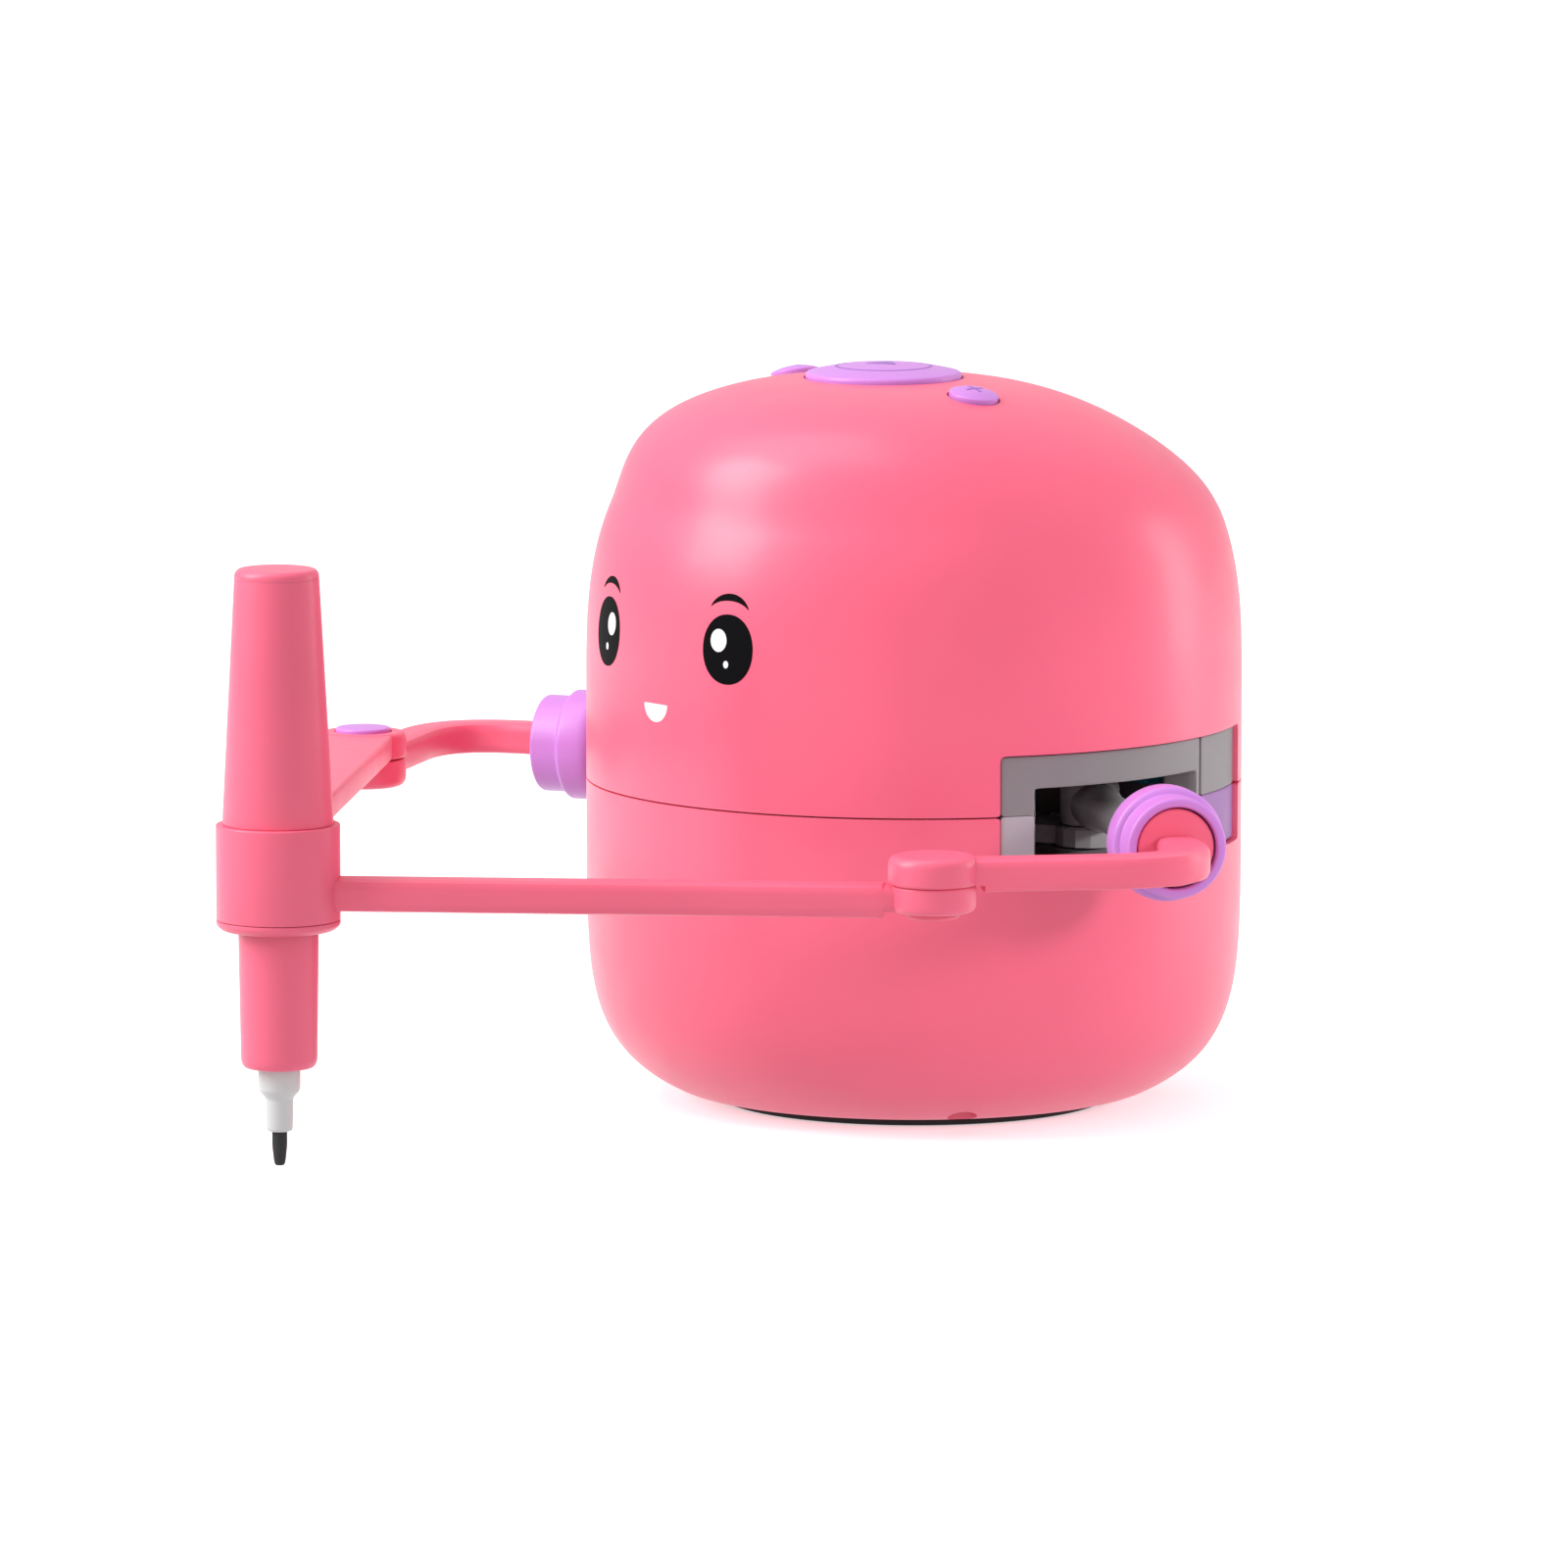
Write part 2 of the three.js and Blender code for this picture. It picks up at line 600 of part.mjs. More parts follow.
// Straight out of the collar, round an easy bend, and straight to the elbow.
function upperArmPath() {
  const elbow = elbowPlace();
  const path = new THREE.Path([new THREE.Vector2(arm.collarEnd - 3, 0), new THREE.Vector2(arm.bendFrom, 0)]);
  path.quadraticCurveTo(arm.bendCorner, 0, ...arm.bendTo);
  path.lineTo(elbow.x, elbow.y);
  return path;
}

// The bar is thicker than its boss, which is cut back on the side that the forearm and the pin are on.
function upperArm(name, over) {
  const elbow = elbowPlace();
  const half = arm.halfThickness;
  const [plugFrom, plugTo] = [arm.collarEnd - 7.2, arm.collarEnd - 1];
  const plug = alongX([[0, plugFrom], [7.8, plugFrom], [7.8, plugTo], [0, plugTo]], 20);
  const [barLow, barHigh] = over ? [-arm.freeSide, arm.lapSide] : [-arm.lapSide, arm.freeSide];
  const [lapLow, lapHigh] = over ? [half, barHigh + 1] : [barLow - 1, -half];
  const lap = rod(arm.bossRadius + 0.6, lapLow, lapHigh, 24).translate([elbow.x, elbow.y, 0]);
  const bar = ribbon(upperArmPath(), arm.width / 2, barLow, barHigh, 24).subtract(lap);
  const boss = rod(arm.bossRadius, -half, half, 24).translate([elbow.x, elbow.y, 0]);
  const [low, high] = over ? [1.4 - half, half + 1] : [-half - 1, half - 1.4];
  const bore = rod(arm.pinRadius + 0.1, low, high, 16).translate([elbow.x, elbow.y, 0]);
  return finish(`${name}_upper_arm`, union(plug, bar, boss).subtract(bore), "pink");
}

const forearmLow = (over) => (over ? arm.halfThickness + GAP : -arm.halfThickness - GAP - forearm.thickness);

// Pressed into the upper arm and headed beyond the forearm.
function elbowPin(name, over) {
  const elbow = elbowPlace();
  const low = forearmLow(over);
  const made = over
    ? union(rod(arm.pinRadius, 1.7 - arm.halfThickness, low + 4, 16), rod(4.4, low + 3.2, low + 4, 20))
    : union(rod(arm.pinRadius, low - 1, arm.halfThickness - 1.7, 16), rod(5.2, low - 1.2, low - GAP, 20));
  return finish(`${name}_elbow_pin`, made.translate([elbow.x, elbow.y, 0]), over ? "steel" : "pink");
}

// A forearm's own frame: the elbow is the origin, the pen's axis is at +X, and Z is 0 at the floor.
function leftForearm() {
  const low = shoulder.left.z + forearmLow(false);
  const { length, thickness, barWidth, barOver, barUnder } = forearm;
  const { collarLow, collarSplit, collarHigh } = level;
  const { collarRadius, collarBore } = pen;
  const bore = rod(collarBore, 40, 80, 24).translate([length, 0, 0]);
  const half = barWidth / 2;
  const top = low + thickness;
  const deepFrom = arm.bossRadius + 1.8;
  const bar = union(
    block(0, deepFrom + 1, -half, half, low, top),
    block(deepFrom, length - 4, -half, half, low - barUnder, top + barOver),
  );
  const collar = turned([
    [0, collarSplit], [collarRadius, collarSplit],
    [collarRadius, collarHigh], [0, collarHigh],
  ], 28).translate([length, 0, 0]);
  const made = union(bar, rod(arm.bossRadius, low, top, 24), collar)
    .subtract(bore)
    .subtract(rod(arm.pinRadius + 0.15, 40, 80, 16));
  const ring = turned([
    [0, collarLow], [collarRadius - 1.2, collarLow], [collarRadius, collarLow + 1],
    [collarRadius, collarSplit - GAP], [0, collarSplit - GAP],
  ], 28).translate([length, 0, 0]).subtract(bore);
  return [finish("left_forearm", made, "pink"), finish("collar_end_ring", ring, "pink")];
}

// A plate that widens and climbs from the elbow to the pen's cone, notched over the other arm's collar.
function rightForearm() {
  const low = shoulder.right.z + forearmLow(true);
  const { length, thickness, plateWidth, plateRise } = forearm;
  const top = low + thickness;
  const [narrow, wide] = plateWidth.map((width) => width / 2);
  const plan = new THREE.Shape([
    new THREE.Vector2(0, -narrow), new THREE.Vector2(length, -wide),
    new THREE.Vector2(length, wide), new THREE.Vector2(0, narrow),
  ]);
  const climbFrom = arm.bossRadius + 2;
  const climbTo = length - pen.collarRadius - 3;
  const profile = new THREE.Shape([
    new THREE.Vector2(0, low), new THREE.Vector2(climbFrom, low),
    new THREE.Vector2(climbTo, low + plateRise), new THREE.Vector2(length, low + plateRise),
    new THREE.Vector2(length, top + plateRise), new THREE.Vector2(climbTo, top + plateRise),
    new THREE.Vector2(climbFrom, top), new THREE.Vector2(0, top),
  ]);
  const sideways = slab(profile, -20, 20).rotate([90, 0, 0]);
  const notch = rod(pen.collarRadius + GAP, low - 1, level.coneLow, 28).translate([length, 0, 0]);
  const plate = slab(plan, low - 1, top + plateRise + 1).intersect(sideways).subtract(notch);
  const cone = turned([
    [0, level.coneLow], [pen.coneRadius, level.coneLow], [pen.topRadius, level.coneHigh], [0, level.coneHigh],
  ], 28).translate([length, 0, 0]);
  const sleeveBore = rod(pen.tubeRadius + GAP, 60, level.tubeHigh + 0.4, 20);
  const bores = union(sleeveBore, rod(6, 80, 130, 16)).translate([length, 0, 0]);
  const seat = rod(4.4 + GAP, top - 2.2, top + 1, 20);
  const made = union(plate, rod(arm.bossRadius, low, top, 24), cone)
    .subtract(bores)
    .subtract(seat)
    .subtract(rod(arm.pinRadius + 0.15, 40, 80, 16));
  const cap = union(rod(5.6, top + 0.3, top + 1, 20), rod(4.2, top - 0.8, top + 0.4, 16));
  return [finish("right_forearm", made, "pink"), finish("right_elbow_cap", cap, "violet")];
}

// ---------------------------------------------------------------- the pen, on its own axis
function penSleeve() {
  const { tubeLow, tubeHigh } = level;
  const outer = turned([
    [0, tubeLow], [6.8, tubeLow], [7.45, tubeLow + 0.9], [pen.tubeRadius, level.collarLow - 1],
    [pen.tubeRadius, tubeHigh], [0, tubeHigh],
  ], 24);
  const bore = union(rod(5.35, tubeLow + 2.2, 90, 18), rod(4.5, 20, 30, 18));
  const low = level.coneHigh + GAP;
  const lid = turned([
    [0, low - 5], [5.7, low - 5], [5.7, low], [8.3, low], [8.2, low + 0.6], [7.5, low + 1.4], [0, low + 1.6],
  ], 28);
  return [finish("pen_tube", outer.subtract(bore), "pink"), finish("pen_lid", lid, "pink")];
}

function penParts() {
  const { tip } = pen;
  const barrel = turned([
    [0, tip + 22], [4.6, tip + 22], [5, tip + 22.8], [5, tip + 104], [3.4, tip + 105.4], [0, tip + 105.4],
  ], 16).subtract(rod(3, tip + 20, tip + 30, 16));
  const nose = turned([
    [0, tip + 6.9], [2.4, tip + 6.9], [2.65, tip + 7.3], [2.65, tip + 13.4],
    [4.15, tip + 15], [4.15, tip + 21.7],
    [2.7, tip + 21.7], [2.7, tip + 29], [0, tip + 29],
  ], 16).subtract(rod(1.6, tip + 5, tip + 16, 12));
  const nib = turned([
    [0, tip], [0.8, tip + 0.12], [1.15, tip + 0.6], [1.4, tip + 4], [1.4, tip + 13], [0, tip + 13],
  ], 12);
  return [
    finish("pen_barrel", barrel, "black"),
    finish("pen_nose", nose, "white"),
    finish("pen_nib", nib, "rubber"),
  ];
}

// ---------------------------------------------------------------- the linkage at rest
function placed([x, y, z], degrees, ...meshes) {
  const group = new THREE.Group();
  group.position.set(x, y, z);
  group.rotation.z = radians(degrees);
  group.add(...meshes);
  return group;
}

// Everything from one shoulder to its elbow. The robot's right side is the left side's mirror image, with
// its own angle and level.
function armGroup(name) {
  const over = name === "right";
  const { angle, z } = shoulder[name];
  const turning = [shoulderRod(name), shoulderCollar(name), upperArm(name, over), elbowPin(name, over)];
  const group = new THREE.Group();
  group.scale.x = side[name];
  group.add(placed([shoulder.x, shoulder.y, z], angle - 90, ...turning));
  group.add(placed([shoulder.x, shoulder.y, 0], 180, sectorGear(name)));
  return group;
}

function elbowAt(name) {
  const turn = radians(shoulder[name].angle - 90);
  const reach = elbowPlace().rotateAround(new THREE.Vector2(), turn);
  return new THREE.Vector2(side[name] * (shoulder.x + reach.x), shoulder.y + reach.y);
}

// Where two forearms of equal length meet in front of the elbows.
function penPlace(leftElbow, rightElbow) {
  const middle = leftElbow.clone().add(rightElbow).multiplyScalar(0.5);
  const across = rightElbow.clone().sub(leftElbow);
  const reach = Math.sqrt(forearm.length ** 2 - across.lengthSq() / 4);
  return middle.add(new THREE.Vector2(-across.y, across.x).normalize().multiplyScalar(reach));
}

function buildRobot() {
  const robot = new THREE.Group();
  robot.add(topShell(), bottomShell(), footPad(), ...bezelPieces("left"), ...bezelPieces("right"));
  robot.add(...buttons(), ...electronics(), ...chassis(), ...housingScrews());
  robot.add(...carriage(), ...liftDrive(), ...shoulderDrive("left"), ...shoulderDrive("right"));
  robot.add(armGroup("left"), armGroup("right"));

  const [left, right] = [elbowAt("left"), elbowAt("right")];
  const penAt = penPlace(left, right);
  const aim = (from) => THREE.MathUtils.radToDeg(Math.atan2(penAt.y - from.y, penAt.x - from.x));
  robot.add(placed([left.x, left.y, 0], aim(left), ...leftForearm()));
  robot.add(placed([right.x, right.y, 0], aim(right), ...rightForearm()));
  robot.add(placed([penAt.x, penAt.y, 0], 0, ...penSleeve(), ...penParts()));
  return robot;
}

const group = buildRobot();
export default group;
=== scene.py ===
"""Looks for the desktop drawing robot: smooth housing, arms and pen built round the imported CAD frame.

Shapes are worked out in millimetres in the frame's axes (+Z up, the face towards -Y, the robot's own left at
+X) and turned into metres when a piece is made.
"""
import json
from math import atan2, cos, degrees, hypot, pi, radians, sin, sqrt

import bmesh
import bpy
from mathutils import Matrix, Vector


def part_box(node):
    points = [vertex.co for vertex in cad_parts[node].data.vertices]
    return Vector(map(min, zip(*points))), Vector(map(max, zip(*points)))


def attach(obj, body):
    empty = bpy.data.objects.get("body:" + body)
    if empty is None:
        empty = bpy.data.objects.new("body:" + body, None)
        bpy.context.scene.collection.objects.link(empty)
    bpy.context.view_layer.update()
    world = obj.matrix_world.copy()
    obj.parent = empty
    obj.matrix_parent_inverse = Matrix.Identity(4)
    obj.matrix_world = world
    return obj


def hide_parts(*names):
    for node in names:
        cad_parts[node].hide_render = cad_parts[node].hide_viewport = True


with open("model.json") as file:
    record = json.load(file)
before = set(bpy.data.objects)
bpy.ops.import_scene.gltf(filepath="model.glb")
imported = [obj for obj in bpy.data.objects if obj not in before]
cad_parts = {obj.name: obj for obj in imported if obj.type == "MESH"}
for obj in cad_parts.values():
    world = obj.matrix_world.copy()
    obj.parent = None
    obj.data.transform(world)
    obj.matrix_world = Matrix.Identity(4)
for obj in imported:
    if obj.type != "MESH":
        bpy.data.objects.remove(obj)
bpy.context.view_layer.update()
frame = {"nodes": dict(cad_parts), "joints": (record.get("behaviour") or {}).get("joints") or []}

MM = 0.001

# ------------------------------------------------------------------ driving dimensions, in mm and degrees
# The housing: part.mjs has the same form.
RADIUS = 66.6
WIDEST_Z = 84.9
RISE = 63.2
DROP = 89.1
UPPER_POWERS = (2.82, 2.98)
LOWER_POWERS = (2.3, 8.0)
LEAN = 8.0
LEAN_FROM, LEAN_TO = 121.0, 145.0
WALL = 2.2
SEAM_Z = 65.9
BASE_Z = 1.9
GAP = 0.3
SLOT = {"from": 66.0, "to": 131.0, "low": 54.6, "high": 78.1}
BEZEL = {"outer": 65.6, "inner": 58.2, "from": 72.5, "to": 110.8, "low": 55.5, "high": 71.3, "block": 112.7}
BUTTON = {"y": -8.0, "main": 15.8, "side": 5.0, "side_x": 28.8, "tilt": 11.8, "clearance": 0.4}
# The arms and the pen.
ROD_RADIUS = 4.0
COLLAR_END = 68.6
ELBOW_AHEAD = 31.8
ARM_WIDTH = 8.4  # of the upper arms and of the left forearm
ARM_HALF = 2.6
BEND = [Vector((74.0, 0, 0)), Vector((92.2, 0, 0)), Vector((90.5, -20, 0))]
LAP_SIDE, FREE_SIDE = 4.1, 2.4
BOSS_RADIUS = 8.8
PIN_HEAD_RADIUS = 5.2
CAP_RADIUS = 5.6
FOREARM_THICKNESS = 5.1
BAR_OVER, BAR_UNDER = 0.3, 1.1
PLATE_WIDTHS = (13.2, 18.4)
PLATE_RISE = 2.6
COLLAR_RADIUS, COLLAR_BORE = 12.17, 10.2
SLEEVE_RADIUS, SLEEVE_BORE = 7.9, 5.35
CONE = {"low": 10.9, "high": 8.3, "bore": 6.2, "socket": 8.2, "socket_top": 85}  # radii, and a height
HAIRLINE = 0.06  # a gap that shows as a fine line
# The screw recesses underneath, the charging port at the back and the scoop at the back of the crown.
SCREW_RECESS = 3.0
PORT = {"z": 24.2, "width": 10, "height": 4.4, "from": 55, "to": 75}
SCOOP = {"level": 136.5, "half_width": 27.0, "half_height": 7.0, "slope": 1.45, "depth": 1.5}
SCOOP_EDGE = 0.6  # the scoop keeps its full depth out to this share of its half width and half height
# The printed face, about its own places on the housing.
EYE = {"azimuth": 17.0, "height": 98.3, "width": 12.0, "tall": 14.0}
BROW = {"radius": 5.2, "rise": 6.2, "bend": 4.2, "width": 1.3}
MOUTH = {"height": 84.6, "radius": 3.7, "drop": 1.2}
PRINT_LIFT, SHINE_LIFT, PRINT_DEPTH = 0.06, 0.1, 0.2


# ------------------------------------------------------------------ small helpers
def joint(name):
    return next(j for j in frame["joints"] if j["name"] == name)


def place(name):
    """A joint's position, in mm."""
    return Vector(joint(name)["pos_m"]) / MM


def smoothstep(low, high, value):
    t = min(max((value - low) / (high - low), 0.0), 1.0)
    return t * t * (3 - 2 * t)


def low_of(node, axis=2):
    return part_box(node)[0][axis] / MM


def high_of(node, axis=2):
    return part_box(node)[1][axis] / MM


def centre_of(node):
    low, high = (Vector(corner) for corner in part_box(node))
    return (low + high) / 2 / MM


# ------------------------------------------------------------------ the linkage at rest, read from the frame
def side_facts(name):
    """The shoulder, elbow and rod direction of one arm."""
    sign = 1 if name == "left" else -1
    shoulder, elbow = place(f"{name}_shoulder"), place(f"{name}_elbow")
    reach = elbow - shoulder
    along = atan2(reach.y, sign * reach.x) + radians(ELBOW_AHEAD)
    return {"sign": sign, "shoulder": shoulder, "elbow": elbow, "along": along, "level": shoulder.z}


ARMS = {name: side_facts(name) for name in ("left", "right")}
PEN = centre_of("pen_barrel")
PEN_TIP = low_of("pen_nib")


def arm_matrix(name):
    """From an arm's own frame, with the rod along +X and the elbow on the -Y side, to the row frame."""
    facts = ARMS[name]
    mirror = Matrix.Diagonal((facts["sign"], 1, 1, 1))
    shoulder = Matrix.Translation((abs(facts["shoulder"].x), facts["shoulder"].y, facts["level"]))
    return mirror @ shoulder @ Matrix.Rotation(facts["along"], 4, "Z")


def forearm_matrix(name):
    """From a forearm's own frame, with the elbow at the origin and the pen's axis on +X."""
    elbow = ARMS[name]["elbow"]
    turn = atan2(PEN.y - elbow.y, PEN.x - elbow.x)
    return Matrix.Translation((elbow.x, elbow.y, 0)) @ Matrix.Rotation(turn, 4, "Z")


PEN_MATRIX = Matrix.Translation((PEN.x, PEN.y, 0))
FOREARM_LENGTH = hypot(PEN.x - ARMS["left"]["elbow"].x, PEN.y - ARMS["left"]["elbow"].y)


# ------------------------------------------------------------------ meshes
class Shape:
    """Vertices in mm and faces, which several primitives can be added to."""

    def __init__(self):
        self.verts = []
        self.faces = []

    def add(self, verts, faces, matrix=None):
        start = len(self.verts)
        matrix = matrix or Matrix.Identity(4)
        self.verts += [matrix @ Vector(v) for v in verts]
        flip = matrix.determinant() < 0
        for face in faces:
            shifted = [start + i for i in face]
            self.faces.append(shifted[::-1] if flip else shifted)
        return self


def grid_faces(rows, columns, closed_columns=True, closed_rows=False):
    faces = []
    for i in range(rows if closed_rows else rows - 1):
        for k in range(columns if closed_columns else columns - 1):
            a, b = i * columns + k, i * columns + (k + 1) % columns
            c, d = ((i + 1) % rows) * columns + (k + 1) % columns, ((i + 1) % rows) * columns + k
            faces.append((a, b, c, d))
    return faces


def rounded(points, steps=4):
    """A profile whose corners are arcs. Each point is (radius, height) or (radius, height, corner radius)."""
    out = []
    for i, point in enumerate(points):
        here = Vector(point[:2])
        size = point[2] if len(point) > 2 else 0
        if not size or i in (0, len(points) - 1):
            out.append(tuple(here))
            continue
        before, after = Vector(points[i - 1][:2]) - here, Vector(points[i + 1][:2]) - here
        size = min(size, before.length * 0.49, after.length * 0.49)
        start, end = here + before.normalized() * size, here + after.normalized() * size
        for k in range(steps + 1):
            t = k / steps
            out.append(tuple((1 - t) ** 2 * start + 2 * t * (1 - t) * here + t * t * end))
    return out


def turned(points, segments=64, steps=4):
    """A solid turned about Z from a profile that starts on the axis, or a ring from one that closes."""
    profile = rounded(points, steps)
    ring = abs(profile[0][0]) > 1e-6
    verts = []
    rows = profile if ring else profile[1:-1]
    for radius, height in rows:
        for k in range(segments):
            way = 2 * pi * k / segments
            verts.append((radius * cos(way), radius * sin(way), height))
    faces = grid_faces(len(rows), segments, closed_rows=ring)
    if not ring:
        bottom, top = len(verts), len(verts) + 1
        verts += [(0, 0, profile[0][1]), (0, 0, profile[-1][1])]
        last = (len(rows) - 1) * segments
        for k in range(segments):
            faces.append((bottom, (k + 1) % segments, k))
            faces.append((top, last + k, last + (k + 1) % segments))
    return verts, faces


def section(width, height, power=5.0, count=28):
    """A superellipse: a rectangle with soft edges. It stands on the sweep's side and up axes."""
    out = []
    for k in range(count):
        way = 2 * pi * (k + 0.5) / count
        c, s = cos(way), sin(way)
        reach = (abs(c) ** power + abs(s) ** power) ** (-1 / power)
        out.append((reach * c * width / 2, reach * s * height / 2))
    return out


def swept(path, outline_at):
    """A bar along a level path; outline_at(share) gives its section's points, across and up."""
    verts = []
    for i, point in enumerate(path):
        ahead = path[min(i + 1, len(path) - 1)] - path[max(i - 1, 0)]
        ahead.normalize()
        across = Vector((-ahead.y, ahead.x, 0)).normalized()
        for side, up in outline_at(i / (len(path) - 1)):
            verts.append(point - across * side + Vector((0, 0, up)))
    columns = len(outline_at(0))
    faces = grid_faces(len(path), columns)
    faces.append(tuple(range(columns))[::-1])
    faces.append(tuple(range(len(verts) - columns, len(verts))))
    return verts, faces


def new_object(name, shape):
    mesh = bpy.data.meshes.new(name)
    mesh.from_pydata([tuple(v * MM for v in vert) for vert in shape.verts], [], shape.faces)
    mesh.validate()
    tidy = bmesh.new()
    tidy.from_mesh(mesh)
    bmesh.ops.recalc_face_normals(tidy, faces=tidy.faces)
    tidy.to_mesh(mesh)
    tidy.free()
    obj = bpy.data.objects.new(name, mesh)
    bpy.context.scene.collection.objects.link(obj)
    shade(obj)
    return obj


def shade(obj, smooth_angle=38):
    obj.data.shade_smooth()
    obj.data.set_sharp_from_angle(angle=radians(smooth_angle))


def apply_modifiers(obj):
    graph = bpy.context.evaluated_depsgraph_get()
    mesh = bpy.data.meshes.new_from_object(obj.evaluated_get(graph))
    old = obj.data
    obj.modifiers.clear()
    obj.data = mesh
    mesh.name = obj.name
    bpy.data.meshes.remove(old)


def cut(obj, shape):
    """Takes a Shape out of the object."""
    tool = new_object("cutter", shape)
    modifier = obj.modifiers.new("cut", "BOOLEAN")
    modifier.operation = "DIFFERENCE"
    modifier.solver = "EXACT"
    modifier.object = tool
    apply_modifiers(obj)
    bpy.data.objects.remove(tool)


def show(obj, body, material, replaces=()):
    """Gives a finished piece its finish, its body and the CAD nodes that it stands for."""
    obj.data.materials.clear()
    obj.data.materials.append(material)
    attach(obj, body)
    if replaces:
        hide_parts(*replaces)


def piece(name, shape, body, material, replaces=()):
    show(new_object(name, shape), body, material, replaces)


# ------------------------------------------------------------------ the housing's surface
def lean_at(z):
    return -LEAN * smoothstep(LEAN_FROM, LEAN_TO, z)


def body_radius(z):
    above = z > WIDEST_Z
    radius_power, height_power = UPPER_POWERS if above else LOWER_POWERS
    height = min(abs(z - WIDEST_Z) / (RISE if above else DROP), 1.0)
    return RADIUS * (1 - height ** height_power) ** (1 / radius_power)


def underside_height(radius):
    radius_power, height_power = LOWER_POWERS
    return WIDEST_Z - DROP * (1 - (radius / RADIUS) ** radius_power) ** (1 / height_power)


def crown_height(radius):
    radius_power, height_power = UPPER_POWERS
    return WIDEST_Z + RISE * (1 - (radius / RADIUS) ** radius_power) ** (1 / height_power)


def on_body(azimuth, z, lift=0.0):
    """A point on the housing, at an angle round from the face in degrees, towards the robot's left."""
    radius = body_radius(z) + lift
    way = radians(azimuth)
    return Vector((radius * sin(way), -radius * cos(way) + lean_at(z), z))


def lines_between(low, high, step):
    count = max(1, round((high - low) / step))
    return [low + (high - low) * i / count for i in range(count)]


def azimuth_lines():
    """Control lines round the housing, close together at the ends of both slots."""
    near = 1.7
    start, end = SLOT["from"], SLOT["to"]
    marks = [0, start - near, start, start + near, end - near, end, end + near, 180]
    half = []
    for low, high in zip(marks, marks[1:]):
        half += lines_between(low, high, 4.6)
    half.append(180)
    return [-a for a in half[:0:-1]][1:] + half


def in_slot(azimuth, z):
    return SLOT["from"] < abs(azimuth) < SLOT["to"] and SLOT["low"] < z < SLOT["high"]


def shell(name, heights, close_bottom=False):
    """One half of the housing, with its half of both slots left open, as a wall of even thickness."""
    turns = azimuth_lines()
    verts = [on_body(turn, z) for z in heights for turn in turns]
    columns = len(turns)
    faces = []
    for i, face in enumerate(grid_faces(len(heights), columns)):
        row, k = divmod(i, columns)
        after = turns[k + 1] if k + 1 < columns else turns[0] + 360
        middle = (turns[k] + after) / 2
        middle = middle - 360 if middle > 180 else middle
        if not in_slot(middle, (heights[row] + heights[row + 1]) / 2):
            faces.append(face)
    shape = Shape()
    if close_bottom:
        inner = [Vector((v.x * f, v.y * f, heights[0])) for f in (0.8, 0.4) for v in verts[:columns]]
        start = len(verts)
        verts += inner + [Vector((0, 0, heights[0]))]
        for k in range(columns):
            after = (k + 1) % columns
            faces.append((start + k, start + after, after, k))
            faces.append((start + columns + k, start + columns + after, start + after, start + k))
            faces.append((len(verts) - 1, start + columns + after, start + columns + k))
    shape.add(verts, faces)
    obj = new_object(name, shape)
    wall = obj.modifiers.new("wall", "SOLIDIFY")
    wall.thickness = WALL * MM
    wall.offset = -1
    wall.use_even_offset = True
    wall.edge_crease_outer = 0.92
    wall.edge_crease_inner = 0.92
    wall.edge_crease_rim = 0.0
    fine = obj.modifiers.new("fine", "SUBSURF")
    fine.levels = fine.render_levels = 2
    apply_modifiers(obj)
    return obj


def even_rows(low, high, step):
    """Heights from low to high, about a step apart along the wall."""
    fine = [low + (high - low) * i / 900 for i in range(901)]
    walked = [0.0]
    for a, b in zip(fine, fine[1:]):
        walked.append(walked[-1] + hypot(body_radius(a) - body_radius(b), b - a))
    count = max(1, round(walked[-1] / step))
    marks = [walked[-1] * i / count for i in range(1, count)]
    return [low] + [next(z for z, way in zip(fine, walked) if way >= mark) for mark in marks] + [high]


def upper_heights():
    low, near, edge = SEAM_Z + GAP / 2, 2.0, SLOT["high"]
    hole = crown_height(BUTTON["main"] + BUTTON["clearance"])
    heights = [low, low + 0.7] + even_rows(low + 2.4, edge - near, 3.4) + [edge]
    return heights + even_rows(edge + near, hole - 0.1, 4.4) + [hole]


def lower_heights():
    high, near, edge = SEAM_Z - GAP / 2, 2.0, SLOT["low"]
    heights = even_rows(BASE_Z, edge - near, 3.4) + [edge]
    return heights + even_rows(edge + near, high - 2.4, 3.0) + [high - 0.7, high]


def settle(obj):
    """Takes the small ripples of subdivision out of the housing's outside."""
    for vert in obj.data.vertices:
        here = vert.co / MM
        here.y -= lean_at(here.z)
        if here.z < BASE_Z + 0.5:
            continue
        radius = hypot(here.x, here.y)
        off = body_radius(min(max(here.z, BASE_Z), WIDEST_Z + RISE)) - radius
        share = 1 - smoothstep(0.06, 0.3, abs(off))
        if radius > 20 and share > 0:
            grow = 1 + share * off / radius
            vert.co.x = here.x * grow * MM
            vert.co.y = (here.y * grow + lean_at(here.z)) * MM


def press_scoop(obj):
    """A shallow finger scoop across the back of the crown."""
    for vert in obj.data.vertices:
        here = vert.co / MM
        if here.z < SCOOP["level"] - 12 or here.y < 0:
            continue
        here.y -= lean_at(here.z)
        radius = hypot(here.x, here.y)
        along = atan2(here.x, here.y) * radius / SCOOP["half_width"]
        down = (here.z - SCOOP["level"]) * SCOOP["slope"] / SCOOP["half_height"]
        depth = SCOOP["depth"] * (1 - smoothstep(SCOOP_EDGE, 1.0, hypot(along, down)))
        if depth > 0:
            inward = Vector((-here.x / radius, -here.y / radius, -1)).normalized()
            vert.co += inward * depth * MM


